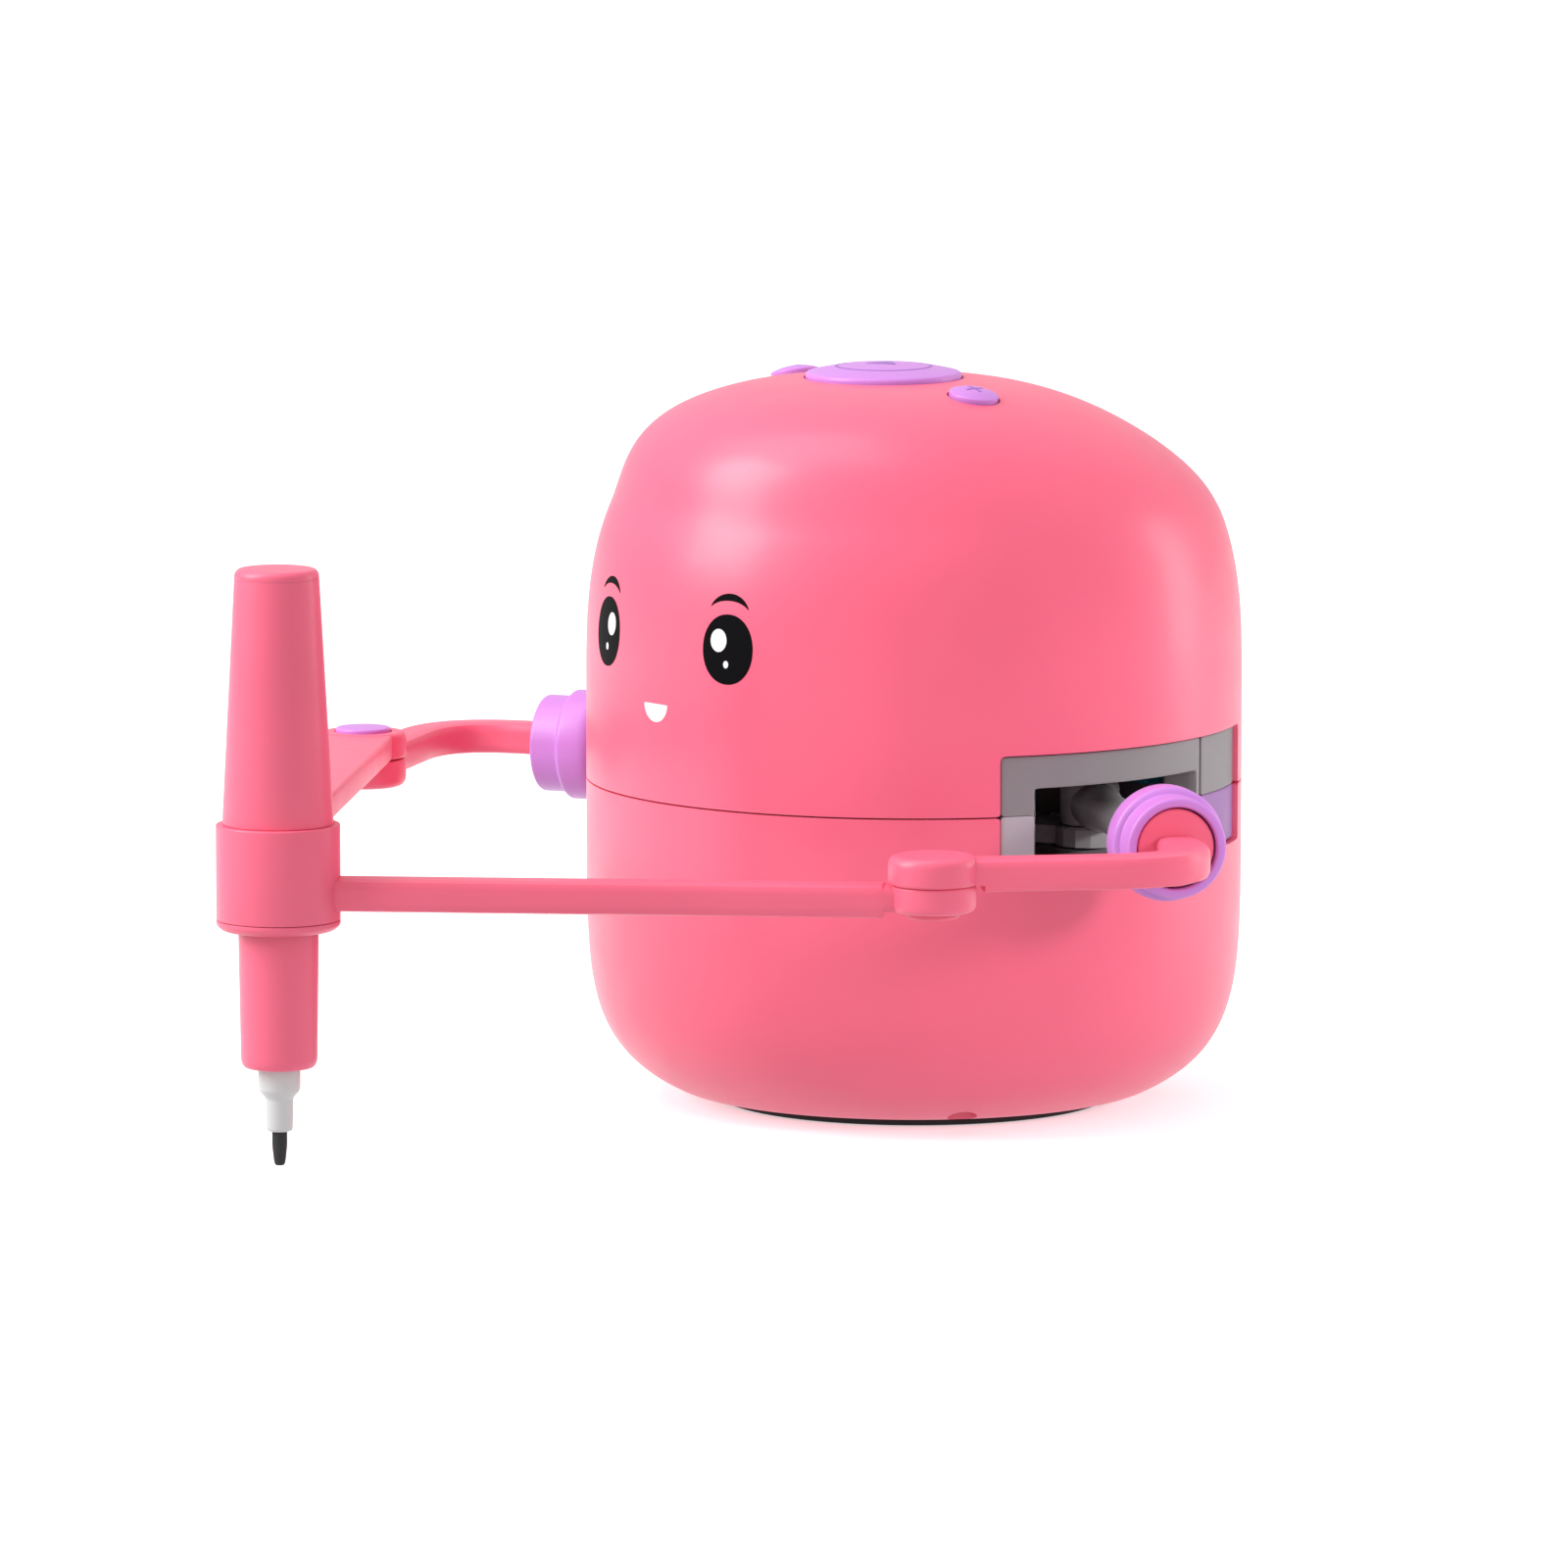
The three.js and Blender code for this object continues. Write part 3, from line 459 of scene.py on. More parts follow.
def plate_round(outer, inner, turns, heights, is_open, sign=1):
    """A curved plate with square openings, its edges softened. Angles are from the face."""
    verts, columns = [], len(turns)
    for z in heights:
        for turn in turns:
            way = radians(sign * turn)
            verts.append((outer * sin(way), -outer * cos(way), z))
    faces = []
    for i, face in enumerate(grid_faces(len(heights), columns, closed_columns=False)):
        row, k = divmod(i, columns - 1)
        if not is_open((turns[k] + turns[k + 1]) / 2, (heights[row] + heights[row + 1]) / 2):
            faces.append(face if sign > 0 else face[::-1])
    obj = new_object("plate", Shape().add(verts, faces))
    wall = obj.modifiers.new("wall", "SOLIDIFY")
    wall.thickness = (outer - inner) * MM
    wall.offset = -1
    wall.edge_crease_outer = wall.edge_crease_inner = 0.93
    fine = obj.modifiers.new("fine", "SUBSURF")
    fine.levels = fine.render_levels = 2
    apply_modifiers(obj)
    shade(obj)
    return obj


def with_neighbours(marks, near, step):
    """Control lines at the marks, a close one on each side of every inner mark, and even ones between."""
    lines = []
    for low, high in zip(marks, marks[1:]):
        room = min(near, (high - low) / 3)
        lines += [low, low + room] + lines_between(low + room, high - room, step)[1:] + [high - room]
    return lines + [marks[-1]]


# ------------------------------------------------------------------ materials
def mottled(name, base, shift=0.06, roughness=0.4, grain=0.02, grain_size=0.35, metallic=0.0, coat=0.0,
            specular=0.5, subsurface=0.0, streak=None):
    """Moulded or machined stock: colour that drifts a little, a fine grain, and uneven gloss."""
    material = bpy.data.materials.new(name)
    material.use_nodes = True
    tree = material.node_tree
    nodes, links = tree.nodes, tree.links
    shader = next(n for n in nodes if n.type == "BSDF_PRINCIPLED")
    shader.inputs["Metallic"].default_value = metallic
    shader.inputs["Coat Weight"].default_value = coat
    shader.inputs["Coat Roughness"].default_value = 0.22
    shader.inputs["Specular IOR Level"].default_value = specular
    where = nodes.new("ShaderNodeTexCoord")
    scale = nodes.new("ShaderNodeMapping")
    scale.inputs["Scale"].default_value = streak or (1, 1, 1)
    links.new(where.outputs["Object"], scale.inputs["Vector"])

    def noise(size_mm, detail):
        node = nodes.new("ShaderNodeTexNoise")
        node.inputs["Scale"].default_value = 1 / (size_mm * MM)
        node.inputs["Detail"].default_value = detail
        links.new(scale.outputs["Vector"], node.inputs["Vector"])
        return node.outputs["Fac"]

    cloud, fine = noise(38, 2), noise(grain_size, 2)
    ramp = nodes.new("ShaderNodeValToRGB")
    dark, light = ([min(1, c * (1 + s * shift)) for c in base] for s in (-1, 1))
    ramp.color_ramp.elements[0].position, ramp.color_ramp.elements[1].position = 0.32, 0.68
    ramp.color_ramp.elements[0].color = (*dark, 1)
    ramp.color_ramp.elements[1].color = (*light, 1)
    links.new(cloud, ramp.inputs["Fac"])
    links.new(ramp.outputs["Color"], shader.inputs["Base Color"])
    gloss = nodes.new("ShaderNodeMapRange")
    gloss.inputs["To Min"].default_value = max(0.05, roughness - 0.06)
    gloss.inputs["To Max"].default_value = min(1, roughness + 0.06)
    links.new(noise(9, 3), gloss.inputs["Value"])
    links.new(gloss.outputs["Result"], shader.inputs["Roughness"])
    bump = nodes.new("ShaderNodeBump")
    bump.inputs["Strength"].default_value = 0.35
    bump.inputs["Distance"].default_value = grain * MM
    links.new(fine, bump.inputs["Height"])
    links.new(bump.outputs["Normal"], shader.inputs["Normal"])
    if subsurface:
        shader.inputs["Subsurface Weight"].default_value = subsurface
        shader.inputs["Subsurface Scale"].default_value = 2 * MM
        shader.inputs["Subsurface Radius"].default_value = (1.0, 0.45, 0.35)
    return material


FINISH = {
    "shell_pink": mottled("shell_pink", (0.92, 0.125, 0.225), 0.035, 0.4, coat=0.15, subsurface=0.1),
    "arm_pink": mottled("arm_pink", (0.90, 0.13, 0.23), 0.04, 0.44, coat=0.1, subsurface=0.1),
    "violet": mottled("violet", (0.58, 0.22, 0.68), 0.04, 0.4, coat=0.1, subsurface=0.1),
    "pale_grey": mottled("pale_grey", (0.46, 0.40, 0.44), 0.05, 0.5),
    "grey": mottled("grey", (0.24, 0.215, 0.225), 0.06, 0.5),
    "white": mottled("white", (0.64, 0.63, 0.63), 0.05, 0.38),
    "black": mottled("black", (0.018, 0.017, 0.019), 0.2, 0.45),
    "foot_rubber": mottled("foot_rubber", (0.012, 0.012, 0.013), 0.25, 0.85, grain=0.08, grain_size=0.7),
    "steel": mottled("steel", (0.55, 0.56, 0.58), 0.08, 0.3, metallic=1.0, streak=(1, 1, 0.06)),
    "motor_can": mottled("motor_can", (0.52, 0.52, 0.54), 0.08, 0.34, metallic=1.0, streak=(1, 1, 0.06)),
    "brass": mottled("brass", (0.66, 0.44, 0.14), 0.1, 0.32, metallic=1.0),
    "board": mottled("board", (0.02, 0.15, 0.06), 0.2, 0.4, coat=0.3),
    "teal": mottled("teal", (0.03, 0.22, 0.32), 0.1, 0.42),
    "nib_felt": mottled("nib_felt", (0.015, 0.015, 0.016), 0.3, 0.8, grain=0.06, grain_size=0.25,
                        streak=(1, 1, 0.15)),
}
INK = mottled("face_black", (0.004, 0.004, 0.005), 0.3, 0.5, grain=0.005, specular=0.03)
PRINT_WHITE = mottled("face_white", (0.86, 0.86, 0.86), 0.02, 0.35, grain=0.005)
# The slot's end block is violet, its own colour, darkened to paint in the shade that falls on it inside the
# slot.
VIOLET_PAINTED_SHADE = mottled("violet_painted_shade", (0.30, 0.12, 0.36), 0.05, 0.45)
SYMBOL = mottled("symbol_violet", (0.30, 0.11, 0.46), 0.08, 0.42, grain=0.01)
for node in frame["nodes"].values():
    node.data.materials[0] = FINISH[node.data.materials[0].name.split(".")[0]]


# ------------------------------------------------------------------ the housing
def screw_places():
    for number in (1, 2, 3, 4):
        middle = centre_of(f"housing_screw_{number}")
        yield Matrix.Translation((middle.x, middle.y, 0))


def build_shells():
    upper = shell("top_shell_skin", upper_heights())
    settle(upper)
    press_scoop(upper)
    wide = BUTTON["side"] + BUTTON["clearance"]
    for name in ARMS:
        hole = turned([(0, -8), (wide, -8), (wide, 8), (0, 8)], 48)
        cut(upper, Shape().add(*hole, side_button_matrix(name)))
    shade(upper, 40)
    show(upper, "housing", FINISH["shell_pink"], ["top_shell"])

    lower = shell("bottom_shell_skin", lower_heights(), close_bottom=True)
    settle(lower)
    recess = SCREW_RECESS
    for matrix in screw_places():
        cut(lower, Shape().add(*turned([(0, -1), (recess, -1), (recess, 12), (0, 12)], 40), matrix))
    port = [Vector((0, PORT[end], 0)) for end in ("from", "to")]
    outline = [(x, z + PORT["z"]) for x, z in section(PORT["width"], PORT["height"])]
    cut(lower, Shape().add(*swept(port, lambda share: outline)))
    shade(lower, 40)
    show(lower, "housing", FINISH["shell_pink"], ["bottom_shell"])

    posts = Shape()
    for matrix in screw_places():
        posts.add(*turned([(recess + 0.02, 4.4), (recess + 1.3, 4.4), (recess + 1.3, 57, 0.5), (0.6, 57),
                           (0.6, 56), (recess + 0.02, 56)], 32), matrix)
    for vert in posts.verts:
        if vert.z < 5:  # the posts' feet follow the shell
            vert.z = max(vert.z, underside_height(hypot(vert.x, vert.y)) + 0.5)
    piece("screw_posts", posts, "housing", FINISH["shell_pink"])

    foot = [(0, 0), (14, 0), (14.4, 0.5), (17.6, 0.5), (18, 0), (26, 0), (26.4, 0.5), (29.6, 0.5), (30, 0),
            (39.6, 0, 0.5), (39.6, 1.6, 0.2), (0, 1.6)]
    piece("foot_ring", Shape().add(*turned(foot, 96)), "housing", FINISH["foot_rubber"],
          ["foot_pad"])


def build_bezels(name):
    """The two grey frames round a slot's window, the violet block at its back end, its violet darkened with
    painted shade, and its lining.
    """
    sign = ARMS[name]["sign"]
    edge, slit = 0.35, 0.35
    start, end = SLOT["from"] + edge, SLOT["to"] - edge
    outer, inner = BEZEL["outer"], BEZEL["inner"]
    bottom, top = SLOT["low"] + GAP, SLOT["high"] - GAP
    middle_low, middle_high = SEAM_Z - HAIRLINE / 2, SEAM_Z + HAIRLINE / 2
    window = (BEZEL["from"], BEZEL["to"])
    split = BEZEL["block"] - edge - slit

    def fit(obj, label, material, replaced):
        obj.name = obj.data.name = f"{name}_{label}"
        show(obj, "housing", material, [f"{name}_{replaced}"])

    def open_above(turn, z):
        return (window[0] < turn < window[1] and z < BEZEL["high"]) or split < turn < BEZEL["block"]

    turns = with_neighbours([start, window[0], window[1], split, BEZEL["block"], end], 1.2, 4.0)
    rows = with_neighbours([middle_high, BEZEL["high"], top], 1.2, 3.0)
    upper = plate_round(outer, inner, turns, rows, open_above, sign)
    fit(upper, "bezel_top", FINISH["grey"], "bezel_upper")

    def open_below(turn, z):
        return window[0] < turn < window[1] and z > BEZEL["low"]

    turns = with_neighbours([start, window[0], window[1], split], 1.2, 4.0)
    rows = with_neighbours([bottom, BEZEL["low"], middle_low], 1.0, 3.0)
    lower = plate_round(outer, inner, turns, rows, open_below, sign)
    fit(lower, "bezel_base", FINISH["pale_grey"], "bezel_lower")

    turns = with_neighbours([BEZEL["block"], end], 1.2, 4.0)
    rows = with_neighbours([bottom, middle_low], 1.2, 4.0)
    block = plate_round(outer, inner, turns, rows, lambda turn, z: False, sign)
    # Painted shade: the end block's violet is darkened for the shade it sits in.
    fit(block, "slot_end", VIOLET_PAINTED_SHADE, "slot_end_block")
    build_slot_liner(name, window)


def build_slot_liner(name, window):
    """A floor and a cheek behind the window, clear of the rod and of the lift carriage."""
    sign, inner = ARMS[name]["sign"], BEZEL["inner"]
    liner = Shape()
    at_window = [(inner * sin(radians(turn)), -inner * cos(radians(turn)))
                 for turn in lines_between(window[0], window[1], 3) + [window[1]]]
    x, y = at_window[0]
    back_x = 46.6
    floor = [(back_x, y + 9)] + at_window + [(back_x, at_window[-1][1])]
    prism(liner, [(sign * x, y) for x, y in floor], SLOT["low"] - 0.5, SLOT["low"] + 0.2)
    cheek = [(x, y), (x, y + 0.9), (x - 6.6, y + 9.2), (x - 7.4, y + 8.6)]
    prism(liner, [(sign * x, y) for x, y in cheek], SLOT["low"] + 0.1, BEZEL["high"] + 1.5)
    piece(f"{name}_slot_liner", liner, "housing", FINISH["pale_grey"])


def prism(shape, outline, low, high):
    """Adds an upright prism on a plan outline."""
    count = len(outline)
    verts = [(x, y, z) for z in (low, high) for x, y in outline]
    faces = [(k, (k + 1) % count, count + (k + 1) % count, count + k) for k in range(count)]
    shape.add(verts, faces + [tuple(range(count))[::-1], tuple(range(count, 2 * count))])


# ------------------------------------------------------------------ buttons and printed marks
def side_button_matrix(name):
    x = ARMS[name]["sign"] * BUTTON["side_x"]
    tilt = Matrix.Rotation(radians(ARMS[name]["sign"] * BUTTON["tilt"]), 4, "Y")
    return Matrix.Translation((x, BUTTON["y"], crown_height(BUTTON["side_x"]) + 0.1)) @ tilt


def dome_height(radius, rise, at):
    return rise * (0.34 + 0.61 * (1 - min(at / radius, 1.0) ** 2.2))


def button_cap(radius, rise):
    rim = [(0, -2.6), (radius, -2.6), (radius, dome_height(radius, rise, radius), 0.7)]
    inward = [radius * (1 - i / 12) for i in range(1, 12)]
    dome = [(r, dome_height(radius, rise, r)) for r in inward]
    return turned(rim + dome + [(0, dome_height(radius, rise, 0))], 96, 6)


def star_patch(reach_at, surface, rings=5, count=48, centre=(0, 0)):
    """A thin mark on a surface, inside an outline given as its reach from the centre at each angle."""
    ways = [2 * pi * k / count for k in range(count)]
    verts = []
    for lift in (0.0, -PRINT_DEPTH):
        verts.append(surface(*centre, lift))
        for ring in range(1, rings + 1):
            for way in ways:
                reach = reach_at(way) * ring / rings
                verts.append(surface(centre[0] + reach * cos(way), centre[1] + reach * sin(way), lift))
    faces, half = [], 1 + rings * count
    for start, flip in ((0, False), (half, True)):
        fan = [(start, start + 1 + k, start + 1 + (k + 1) % count) for k in range(count)]
        around = [tuple(start + 1 + i for i in face) for face in grid_faces(rings, count)]
        faces += [f[::-1] if flip else f for f in fan + [a[::-1] for a in around]]
    last = 1 + (rings - 1) * count
    for k in range(count):
        a, b = last + k, last + (k + 1) % count
        faces.append((a, half + a, half + b, b))
    return verts, faces


def ribbon_patch(points, widths, surface):
    """A thin mark along a line, with a width at each point."""
    verts, count = [], len(points)
    for lift in (0.0, -PRINT_DEPTH):
        for i, (point, width) in enumerate(zip(points, widths)):
            ahead = Vector(points[min(i + 1, count - 1)]) - Vector(points[max(i - 1, 0)])
            side = Vector((-ahead.y, ahead.x)).normalized() * width / 2
            for sign in (-1, 0, 1):
                verts.append(surface(point[0] + sign * side.x, point[1] + sign * side.y, lift))
    top = grid_faces(count, 3, closed_columns=False)
    low = [tuple(3 * count + i for i in face)[::-1] for face in top]
    rim = [3 * i for i in range(count)] + [3 * count - 2] + [3 * i + 2 for i in reversed(range(count))] + [1]
    walls = [(rim[i], rim[(i + 1) % len(rim)], rim[(i + 1) % len(rim)] + 3 * count, rim[i] + 3 * count)
             for i in range(len(rim))]
    return verts, top + low + walls


def ellipse(width, height, power=2.0):
    def reach(way):
        c, s = abs(cos(way)) * 2 / width, abs(sin(way)) * 2 / height
        return (c ** power + s ** power) ** (-1 / power)
    return reach


def face_surface(azimuth, height, lift):
    """Marks on the face: across and up in mm from a place on the housing."""
    def surface(across, up, depth):
        z = height + up
        return on_body(azimuth + degrees(across / body_radius(z)), z, lift + depth)
    return surface


def build_face():
    for name, sign in (("left", 1), ("right", -1)):
        eye = face_surface(sign * EYE["azimuth"], EYE["height"], PRINT_LIFT)
        mark = Shape().add(*star_patch(ellipse(EYE["width"], EYE["tall"], 2.1), eye, rings=8, count=72))
        piece(f"{name}_eye", mark, "housing", INK)
        shine = face_surface(sign * EYE["azimuth"], EYE["height"], SHINE_LIFT)
        glint = Shape().add(*star_patch(ellipse(3.9, 4.6), shine, centre=(-sign * 2.1, 1.7)))
        glint.add(*star_patch(ellipse(1.2, 1.5), shine, rings=2, centre=(-sign * 0.2, -3.0)))
        piece(f"{name}_eye_shine", glint, "housing", PRINT_WHITE)
        sweep_points = [radians(a) for a in range(28, 153, 5)]
        brow = [(BROW["radius"] * cos(a), BROW["rise"] + BROW["bend"] * sin(a)) for a in sweep_points]
        taper = [sin(pi * i / (len(brow) - 1)) for i in range(len(brow))]
        widths = [0.12 + BROW["width"] * share for share in taper]
        piece(f"{name}_brow", Shape().add(*ribbon_patch(brow, widths, eye)), "housing", INK)

    mouth = face_surface(0.2, MOUTH["height"], PRINT_LIFT)
    smile = Shape().add(*star_patch(half_moon, mouth, rings=4, count=64))
    piece("mouth", smile, "housing", PRINT_WHITE)


def half_moon(way):
    """A disc's lower half, as reach from a centre a little below its straight edge."""
    radius, drop = MOUTH["radius"], MOUTH["drop"]
    s = sin(way)
    to_circle = drop * s
    reach = to_circle + sqrt(max(radius ** 2 - drop ** 2 + to_circle ** 2, 0))
    return min(reach, drop / s) if s > 0 else reach


def build_buttons():
    main = Matrix.Translation((0, BUTTON["y"], crown_height(0) - 0.4))
    radius, rise = BUTTON["main"], 3.0

    def on_dome(matrix, cap, height):
        def surface(x, y, depth):
            return matrix @ Vector((x, y, dome_height(cap, height, hypot(x, y)) + 0.05 + depth))
        return surface

    piece("main_button_cap", Shape().add(*button_cap(radius, rise), main), "main_button",
          FINISH["violet"], ["main_button"])
    top = on_dome(main, radius, rise)
    ring = [(9.6 * cos(2 * pi * k / 96), 9.6 * sin(2 * pi * k / 96)) for k in range(97)]
    marks = Shape().add(*ribbon_patch(ring, [0.5] * len(ring), top))
    marks.add(*star_patch(triangle, top, rings=4, count=60))
    piece("start_mark", marks, "main_button", SYMBOL)
    for name in ARMS:
        matrix = side_button_matrix(name)
        small, low = BUTTON["side"], 1.7
        piece(f"{name}_button_cap", Shape().add(*button_cap(small, low), matrix), f"{name}_button",
              FINISH["violet"], [f"{name}_button"])
        bars = [[(-2 + i * 0.5, 0) for i in range(9)]]
        if name == "left":
            bars.append([(0, -2 + i * 0.5) for i in range(9)])
        sign = Shape()
        for bar in bars:
            sign.add(*ribbon_patch(bar, [0.6] * len(bar), on_dome(matrix, small, low)))
        piece(f"{name}_volume_mark", sign, f"{name}_button", SYMBOL)


def triangle(way):
    """A play symbol with soft corners, pointing along +X."""
    inner = 2.1
    nearest = min(abs((way - side + pi) % (2 * pi) - pi) for side in (pi / 3, pi, -pi / 3))
    return min(inner / cos(min(nearest, 1.2)), 3.6)


# ------------------------------------------------------------------ the arms
ALONG_X = Matrix.Rotation(radians(90), 4, "Y")


def build_shoulder(name):
    """The rod in the slot, and the stepped collar on its end."""
    matrix = arm_matrix(name)
    rod = Shape()
    rod.add(*turned([(0, -4.1), (6, -4.1, 0.8), (6, 4.6, 1.6), (0, 4.6)], 48), matrix)
    thick, rod_end = ROD_RADIUS + 0.9, 60.5
    stem = [(0, 0.5), (thick, 0.5), (thick, 9, 1), (ROD_RADIUS, 13, 2), (ROD_RADIUS, rod_end, 0.4),
            (0, rod_end)]
    rod.add(*turned(stem, 48), matrix @ ALONG_X)
    piece(f"{name}_rod", rod, f"{name}_upper_arm", FINISH["white"], [f"{name}_shoulder_rod"])

    back, step, face = COLLAR_END - 14.6, COLLAR_END - 6.2, COLLAR_END
    wide, narrow, socket, bore = 11.4, 10.05, 8.1, ROD_RADIUS + GAP
    collar = [(bore, back), (9.8, back, 0.8), (wide, back + 2.2, 1.4), (wide, step - 0.6, 1.0),
              (10.7, step, 0.5), (narrow, step + 0.25, 0.3), (narrow, face, 0.8), (8.3, face, 0.5),
              (socket, face - 0.8, 0.4), (socket, face - 7.6), (bore, face - 7.6)]
    piece(f"{name}_collar", Shape().add(*turned(collar, 96), matrix @ ALONG_X), f"{name}_upper_arm",
          FINISH["violet"], [f"{name}_shoulder_collar"])


def arm_path(elbow):
    """Straight out of the collar, round an easy bend, and straight to the elbow."""
    first, corner, last = BEND
    points = [Vector((COLLAR_END - 3, 0, 0)).lerp(first, i / 5) for i in range(5)]
    for i in range(25):
        t = i / 24
        points.append((1 - t) ** 2 * first + 2 * t * (1 - t) * corner + t * t * last)
    lap_at = elbow + (last - elbow).normalized() * (BOSS_RADIUS + 0.8)
    points += [last.lerp(lap_at, i / 6) for i in range(1, 6)]
    step = (elbow - lap_at).normalized() * 0.15
    return points + [lap_at - step, lap_at + step, elbow]


def path_at(path, share):
    return path[round(share * (len(path) - 1))]


def build_upper_arm(name):
    facts, matrix = ARMS[name], arm_matrix(name)
    over = name == "right"
    reach = (facts["elbow"] - facts["shoulder"]).to_2d().length
    elbow = Vector((reach * cos(radians(ELBOW_AHEAD)), -reach * sin(radians(ELBOW_AHEAD)), 0))
    path = arm_path(elbow)
    outline = section(ARM_WIDTH, LAP_SIDE + FREE_SIDE)
    off = (LAP_SIDE - FREE_SIDE) / 2 * (1 if over else -1)
    bar = [(across, up + off) for across, up in outline]
    lapped = [(across, max(up, -ARM_HALF) if not over else min(up, ARM_HALF)) for across, up in bar]

    def outline_at(share):
        clear = (path_at(path, share) - elbow).length > BOSS_RADIUS + 0.8
        return bar if clear else lapped

    arm = Shape().add(*swept(path, outline_at), matrix)
    plug = [(0, COLLAR_END - 7.2), (7.8, COLLAR_END - 7.2), (7.8, COLLAR_END - 1, 0.5), (0, COLLAR_END - 1)]
    arm.add(*turned(plug, 64), matrix @ ALONG_X)
    low, high = (-ARM_HALF - 0.5, ARM_HALF) if over else (-ARM_HALF, ARM_HALF + 0.5)
    corners = (2.2, 0.7) if over else (0.7, 2.2)
    boss = [(0, low), (BOSS_RADIUS, low, corners[0]), (BOSS_RADIUS, high, corners[1]), (0, high)]
    arm.add(*turned(boss, 64, 6), matrix @ Matrix.Translation(elbow))
    piece(f"{name}_arm", arm, f"{name}_upper_arm", FINISH["arm_pink"], [f"{name}_upper_arm"])


def build_left_forearm():
    matrix = forearm_matrix("left")
    high = ARMS["left"]["level"] - ARM_HALF - GAP
    low = high - FOREARM_THICKNESS
    collar_low, collar_high = low_of("left_forearm"), high_of("left_forearm")
    length = FOREARM_LENGTH
    middle = Matrix.Translation((0, 0, (low + high) / 2))
    shift, depth = (BAR_OVER - BAR_UNDER) / 2, FOREARM_THICKNESS + BAR_OVER + BAR_UNDER
    outline = [(x, z + shift) for x, z in section(ARM_WIDTH, depth)]
    root = section(ARM_WIDTH, FOREARM_THICKNESS)
    deep_from = BOSS_RADIUS + 0.7
    path = [Vector((x, 0, 0)) for x in (0, 6, deep_from - 0.1, deep_from + 0.2, 30, 60, 90, length - 11.3)]
    arm = Shape().add(*swept(path, lambda share: outline if path_at(path, share).x > deep_from else root),
                      matrix @ middle)
    meet = high + GAP - HAIRLINE
    boss = [(0, low), (BOSS_RADIUS - 0.4, low, 1.6), (BOSS_RADIUS - 0.4, meet, 0.5), (0, meet)]
    arm.add(*turned(boss, 64, 6), matrix)
    ring = [(COLLAR_BORE, collar_low), (COLLAR_RADIUS, collar_low, 0.2),
            (COLLAR_RADIUS, collar_high, 0.35), (COLLAR_BORE, collar_high, 0.3)]
    at_pen = matrix @ Matrix.Translation((length, 0, 0))
    arm.add(*turned(ring, 96), at_pen)
    piece("left_forearm_bar", arm, "left_forearm", FINISH["arm_pink"], ["left_forearm"])

    base, ring_high = low_of("collar_end_ring"), collar_low - 2 * HAIRLINE
    end = [(COLLAR_BORE, base, 0.2), (COLLAR_RADIUS - 1.2, base, 0.5), (COLLAR_RADIUS, base + 1.0, 0.5),
           (COLLAR_RADIUS, ring_high, 0.15), (COLLAR_BORE, ring_high)]
    piece("collar_ring", Shape().add(*turned(end, 96), at_pen), "left_forearm",
          FINISH["arm_pink"], ["collar_end_ring"])
    head = [(0, low - 1.2), (PIN_HEAD_RADIUS, low - 1.2, 0.5), (PIN_HEAD_RADIUS, low - GAP, 0.1),
            (0, low - GAP)]
    piece("left_pin_head", Shape().add(*turned(head, 48), matrix), "left_upper_arm",
          FINISH["arm_pink"], ["left_elbow_pin"])


def build_right_forearm():
    matrix = forearm_matrix("right")
    low = ARMS["right"]["level"] + ARM_HALF + GAP
    length, thick = FOREARM_LENGTH, FOREARM_THICKNESS
    narrow, wide = (width / 2 for width in PLATE_WIDTHS)
    climb_from, climb_to = BOSS_RADIUS + 2, length - 15.2
    verts = []
    for x in (0, climb_from, (climb_from + climb_to) / 2, climb_to, length):
        half = narrow + (wide - narrow) * x / length
        rise = PLATE_RISE * min(max((x - climb_from) / (climb_to - climb_from), 0), 1)
        verts += [(x, -half, low + rise), (x, half, low + rise), (x, half, low + rise + thick),
                  (x, -half, low + rise + thick)]
    faces = grid_faces(5, 4) + [(3, 2, 1, 0), (16, 17, 18, 19)]
    plate = new_object("right_forearm_plate", Shape().add(verts, faces, matrix))
    soft = plate.modifiers.new("soft", "BEVEL")
    soft.width, soft.segments = 0.8 * MM, 4
    soft.limit_method, soft.angle_limit = "ANGLE", radians(40)
    apply_modifiers(plate)
    room, over_collar = COLLAR_RADIUS + GAP, high_of("left_forearm") + GAP
    notch = [(0, low - 1), (room, low - 1), (room, over_collar), (0, over_collar)]
    cut(plate, Shape().add(*turned(notch, 96), PEN_MATRIX))
    shade(plate, 40)
    show(plate, "right_forearm", FINISH["arm_pink"], ["right_forearm"])

    top = low + thick
    seat = top - 0.5
    boss = [(0, low), (BOSS_RADIUS, low, 0.7), (BOSS_RADIUS, top + 0.2, 1.6), (5.9, top + 0.2, 0.2),
            (5.8, seat), (0, seat)]
    piece("right_forearm_boss", Shape().add(*turned(boss, 64, 6), matrix), "right_forearm",
          FINISH["arm_pink"])
    cap = [(0, top - 0.4), (CAP_RADIUS, top - 0.4), (CAP_RADIUS, top + 1, 0.5), (0, top + 1.1)]
    piece("right_elbow_disc", Shape().add(*turned(cap, 64), matrix), "right_forearm",
          FINISH["violet"], ["right_elbow_cap"])


def pen_piece(name, profile, slot, replaces=(), segments=96):
    piece(name, Shape().add(*turned(profile, segments), PEN_MATRIX), "right_forearm", FINISH[slot],
          replaces)


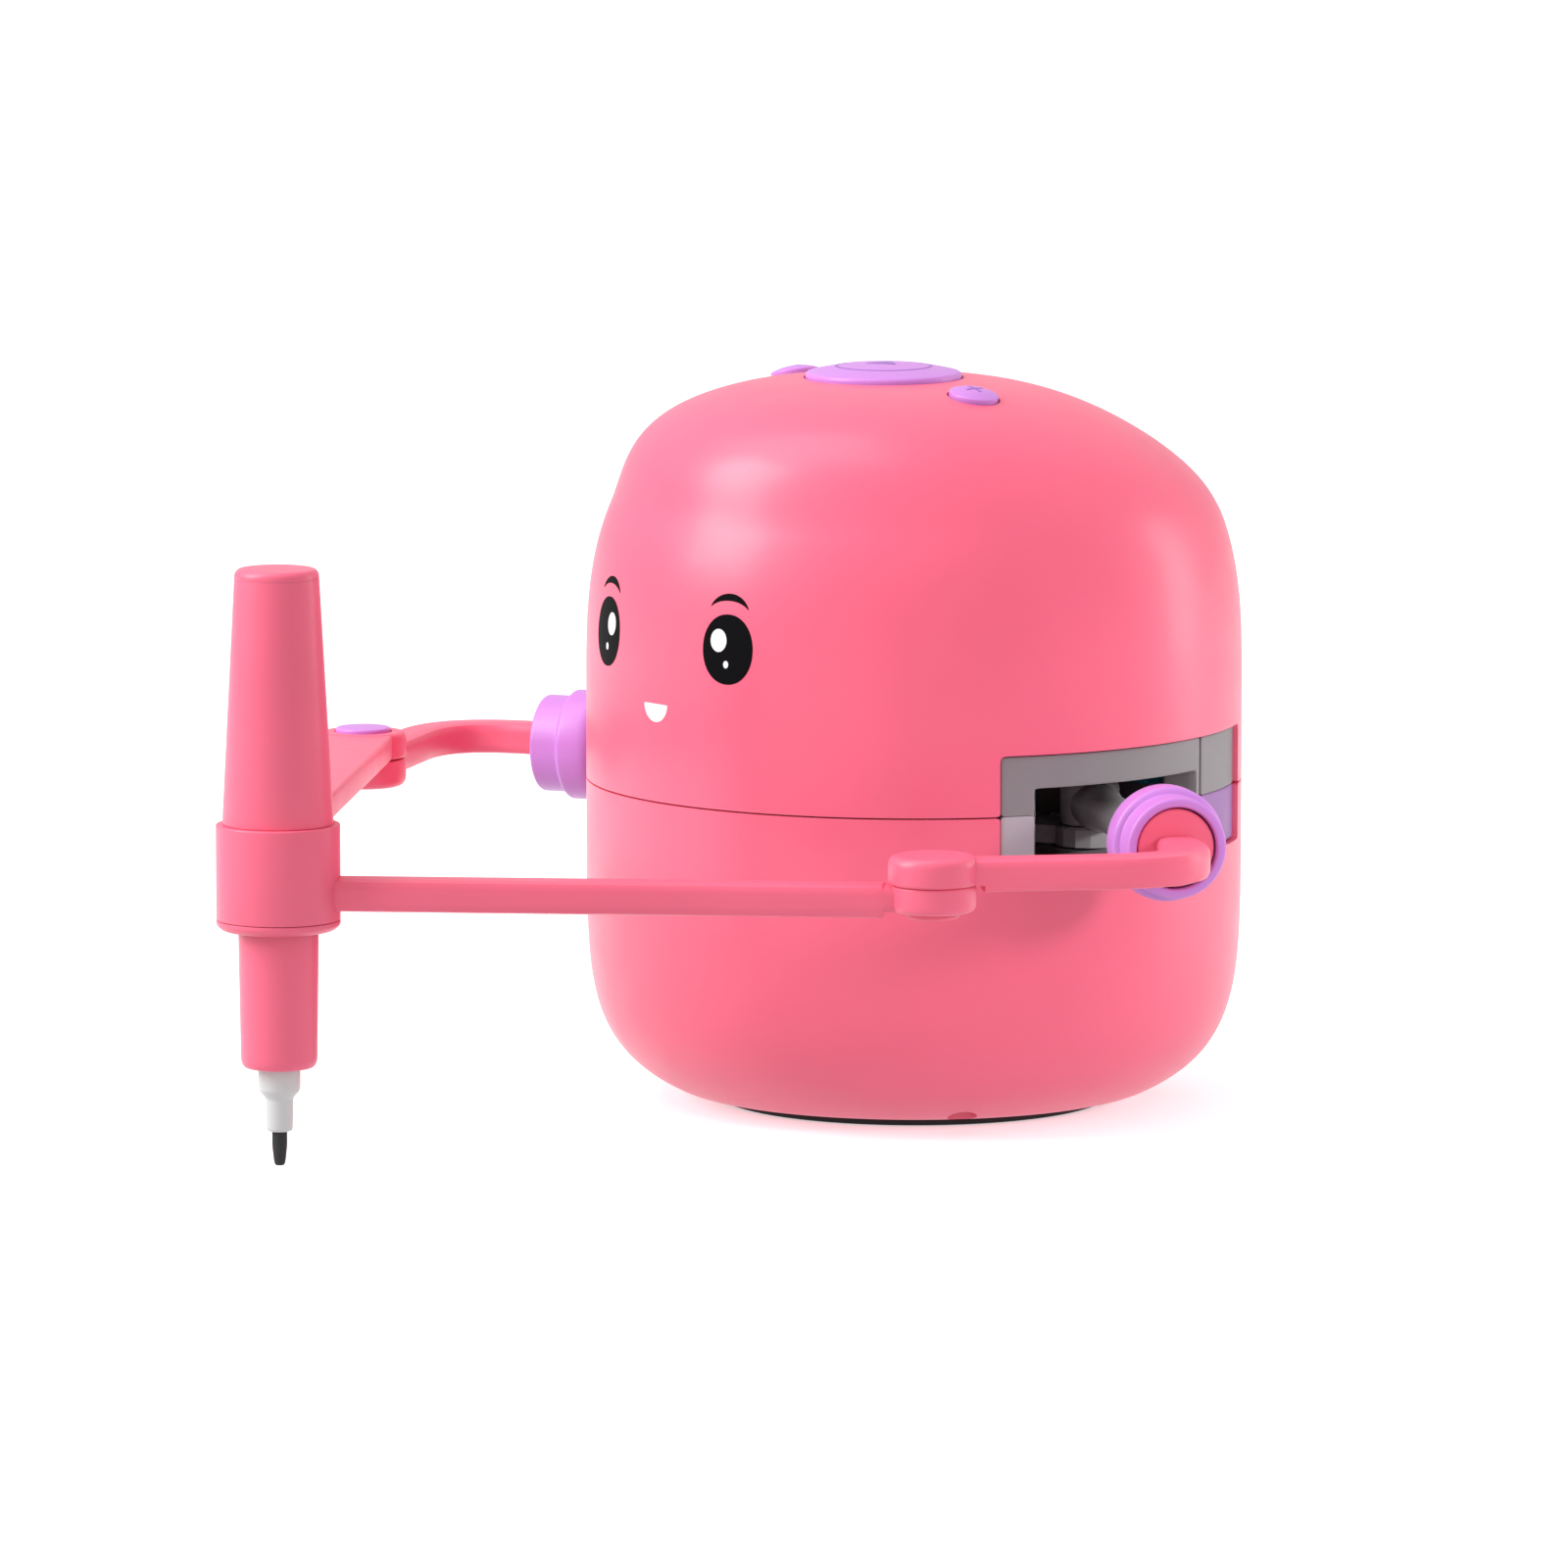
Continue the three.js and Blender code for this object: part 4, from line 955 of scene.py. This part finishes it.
def build_pen():
    cone_low, cone_high = high_of("left_forearm") + HAIRLINE, high_of("right_forearm")
    socket, socket_top = CONE["socket"], CONE["socket_top"]
    cone = [(socket, cone_low), (CONE["low"], cone_low, 0.12), (CONE["high"], cone_high, 0.02),
            (CONE["bore"], cone_high), (CONE["bore"], socket_top), (socket, socket_top)]
    pen_piece("pen_cone", cone, "arm_pink")

    base = cone_high + 0.02
    lid = [(0, base - 5), (5.7, base - 5), (5.7, base), (8.3, base, 0.02), (8.25, base + 1, 0.5),
           (7.5, base + 1.85, 0.5), (0, base + 1.88)]
    pen_piece("pen_top", lid, "arm_pink", ["pen_lid"])

    low, high = low_of("pen_tube"), high_of("pen_tube")
    tube = [(SLEEVE_BORE, low + 2.2), (SLEEVE_BORE, high), (SLEEVE_RADIUS, high, 0.3), (SLEEVE_RADIUS, 50, 2),
            (7.5, low + 1.3, 1), (6.9, low, 0.9), (4.5, low, 0.3), (4.5, low + 2.2)]
    pen_piece("pen_sleeve", tube, "arm_pink", ["pen_tube"])

    tip = PEN_TIP
    nose = [(1.6, tip + 6.9), (2.4, tip + 6.9, 0.2), (2.65, tip + 7.4, 0.3), (2.75, tip + 13.4, 0.4),
            (4.15, tip + 15, 0.6), (4.2, tip + 21.7, 0.2), (2.6, tip + 21.7), (2.6, tip + 29),
            (1.6, tip + 29)]
    pen_piece("marker_nose", nose, "white", ["pen_nose"], 64)
    nib = [(0, tip), (0.9, tip + 0.1, 0.3), (1.15, tip + 0.8, 0.5), (1.5, tip + 4, 1), (1.5, tip + 13),
           (0, tip + 13)]
    pen_piece("marker_nib", nib, "nib_felt", ["pen_nib"], 48)


# ------------------------------------------------------------------ the stage
AZIMUTH, ELEVATION = radians(51.64), radians(7.7)
FOCAL = 8.08125  # the focal length, in widths of the frame
AIM = (0.0825, 0.198125)  # where the origin falls, right of and below the frame's middle, in widths
FRAME_MM = 320  # the frame's width at the origin


def build_camera():
    back = Vector((sin(AZIMUTH) * cos(ELEVATION), -cos(AZIMUTH) * cos(ELEVATION), sin(ELEVATION)))
    right = Vector((cos(AZIMUTH), sin(AZIMUTH), 0))
    up = back.cross(right)
    data = bpy.data.cameras.new("camera")
    data.sensor_width = 36
    data.lens = FOCAL * data.sensor_width
    data.clip_start, data.clip_end = 0.05, 60
    camera = bpy.data.objects.new("camera", data)
    camera.location = (back * FOCAL - right * AIM[0] + up * AIM[1]) * FRAME_MM * MM
    camera.rotation_mode = "QUATERNION"
    camera.rotation_quaternion = back.to_track_quat("Z", "Y")
    bpy.context.scene.collection.objects.link(camera)
    bpy.context.scene.camera = camera
    return back, right, up


def build_light(name, where, size, watts, target=(0, 0, 0.07), spread=180):
    data = bpy.data.lights.new(name, "AREA")
    data.shape, data.size, data.size_y = "RECTANGLE", size[0], size[1]
    data.energy, data.spread = watts, radians(spread)
    light = bpy.data.objects.new(name, data)
    light.location = where
    light.rotation_mode = "QUATERNION"
    light.rotation_quaternion = (Vector(where) - Vector(target)).to_track_quat("Z", "Y")
    bpy.context.scene.collection.objects.link(light)
    return light


def build_stage():
    back, right, up = build_camera()
    side, level = 14000, -0.05
    corners = [(x * side, y * side, level) for x, y in ((-1, -1), (1, -1), (1, 1), (-1, 1))]
    floor = new_object("floor", Shape().add(corners, [(0, 1, 2, 3)]))
    white = mottled("floor_white", (0.86, 0.86, 0.86), 0.01, 0.75, grain=0.01, grain_size=3)
    shader = next(n for n in white.node_tree.nodes if n.type == "BSDF_PRINCIPLED")
    shader.inputs["Emission Color"].default_value = (1, 1, 1, 1)
    shader.inputs["Emission Strength"].default_value = 0.5
    floor.data.materials.append(white)
    floor.visible_diffuse = False
    world = bpy.data.worlds.new("studio")
    world.use_nodes = True
    world.node_tree.nodes["Background"].inputs["Color"].default_value = (1, 1, 1, 1)
    world.node_tree.nodes["Background"].inputs["Strength"].default_value = 0.7
    bpy.context.scene.world = world
    build_light("key", back * 0.35 - right * 1.1 + up * 0.75, (0.6, 0.8), 14)
    build_light("top", Vector((0, 0, 1.3)) - right * 0.5, (0.9, 0.9), 5.5)
    build_light("rim", back * -0.25 + right * 0.9 + up * 0.1, (0.2, 0.9), 3)
    slot = (0.05, 0, 0.062)
    glow = build_light("slot", back * 0.5 + right * 0.55 + up * 0.22, (0.12, 0.12), 0.03, slot, 22)
    glow.visible_glossy = False
    bpy.context.scene.view_settings.view_transform = "Standard"


build_stage()
build_shells()
build_face()
build_buttons()
for arm_name in ARMS:
    build_bezels(arm_name)
    build_shoulder(arm_name)
    build_upper_arm(arm_name)
build_left_forearm()
build_right_forearm()
build_pen()
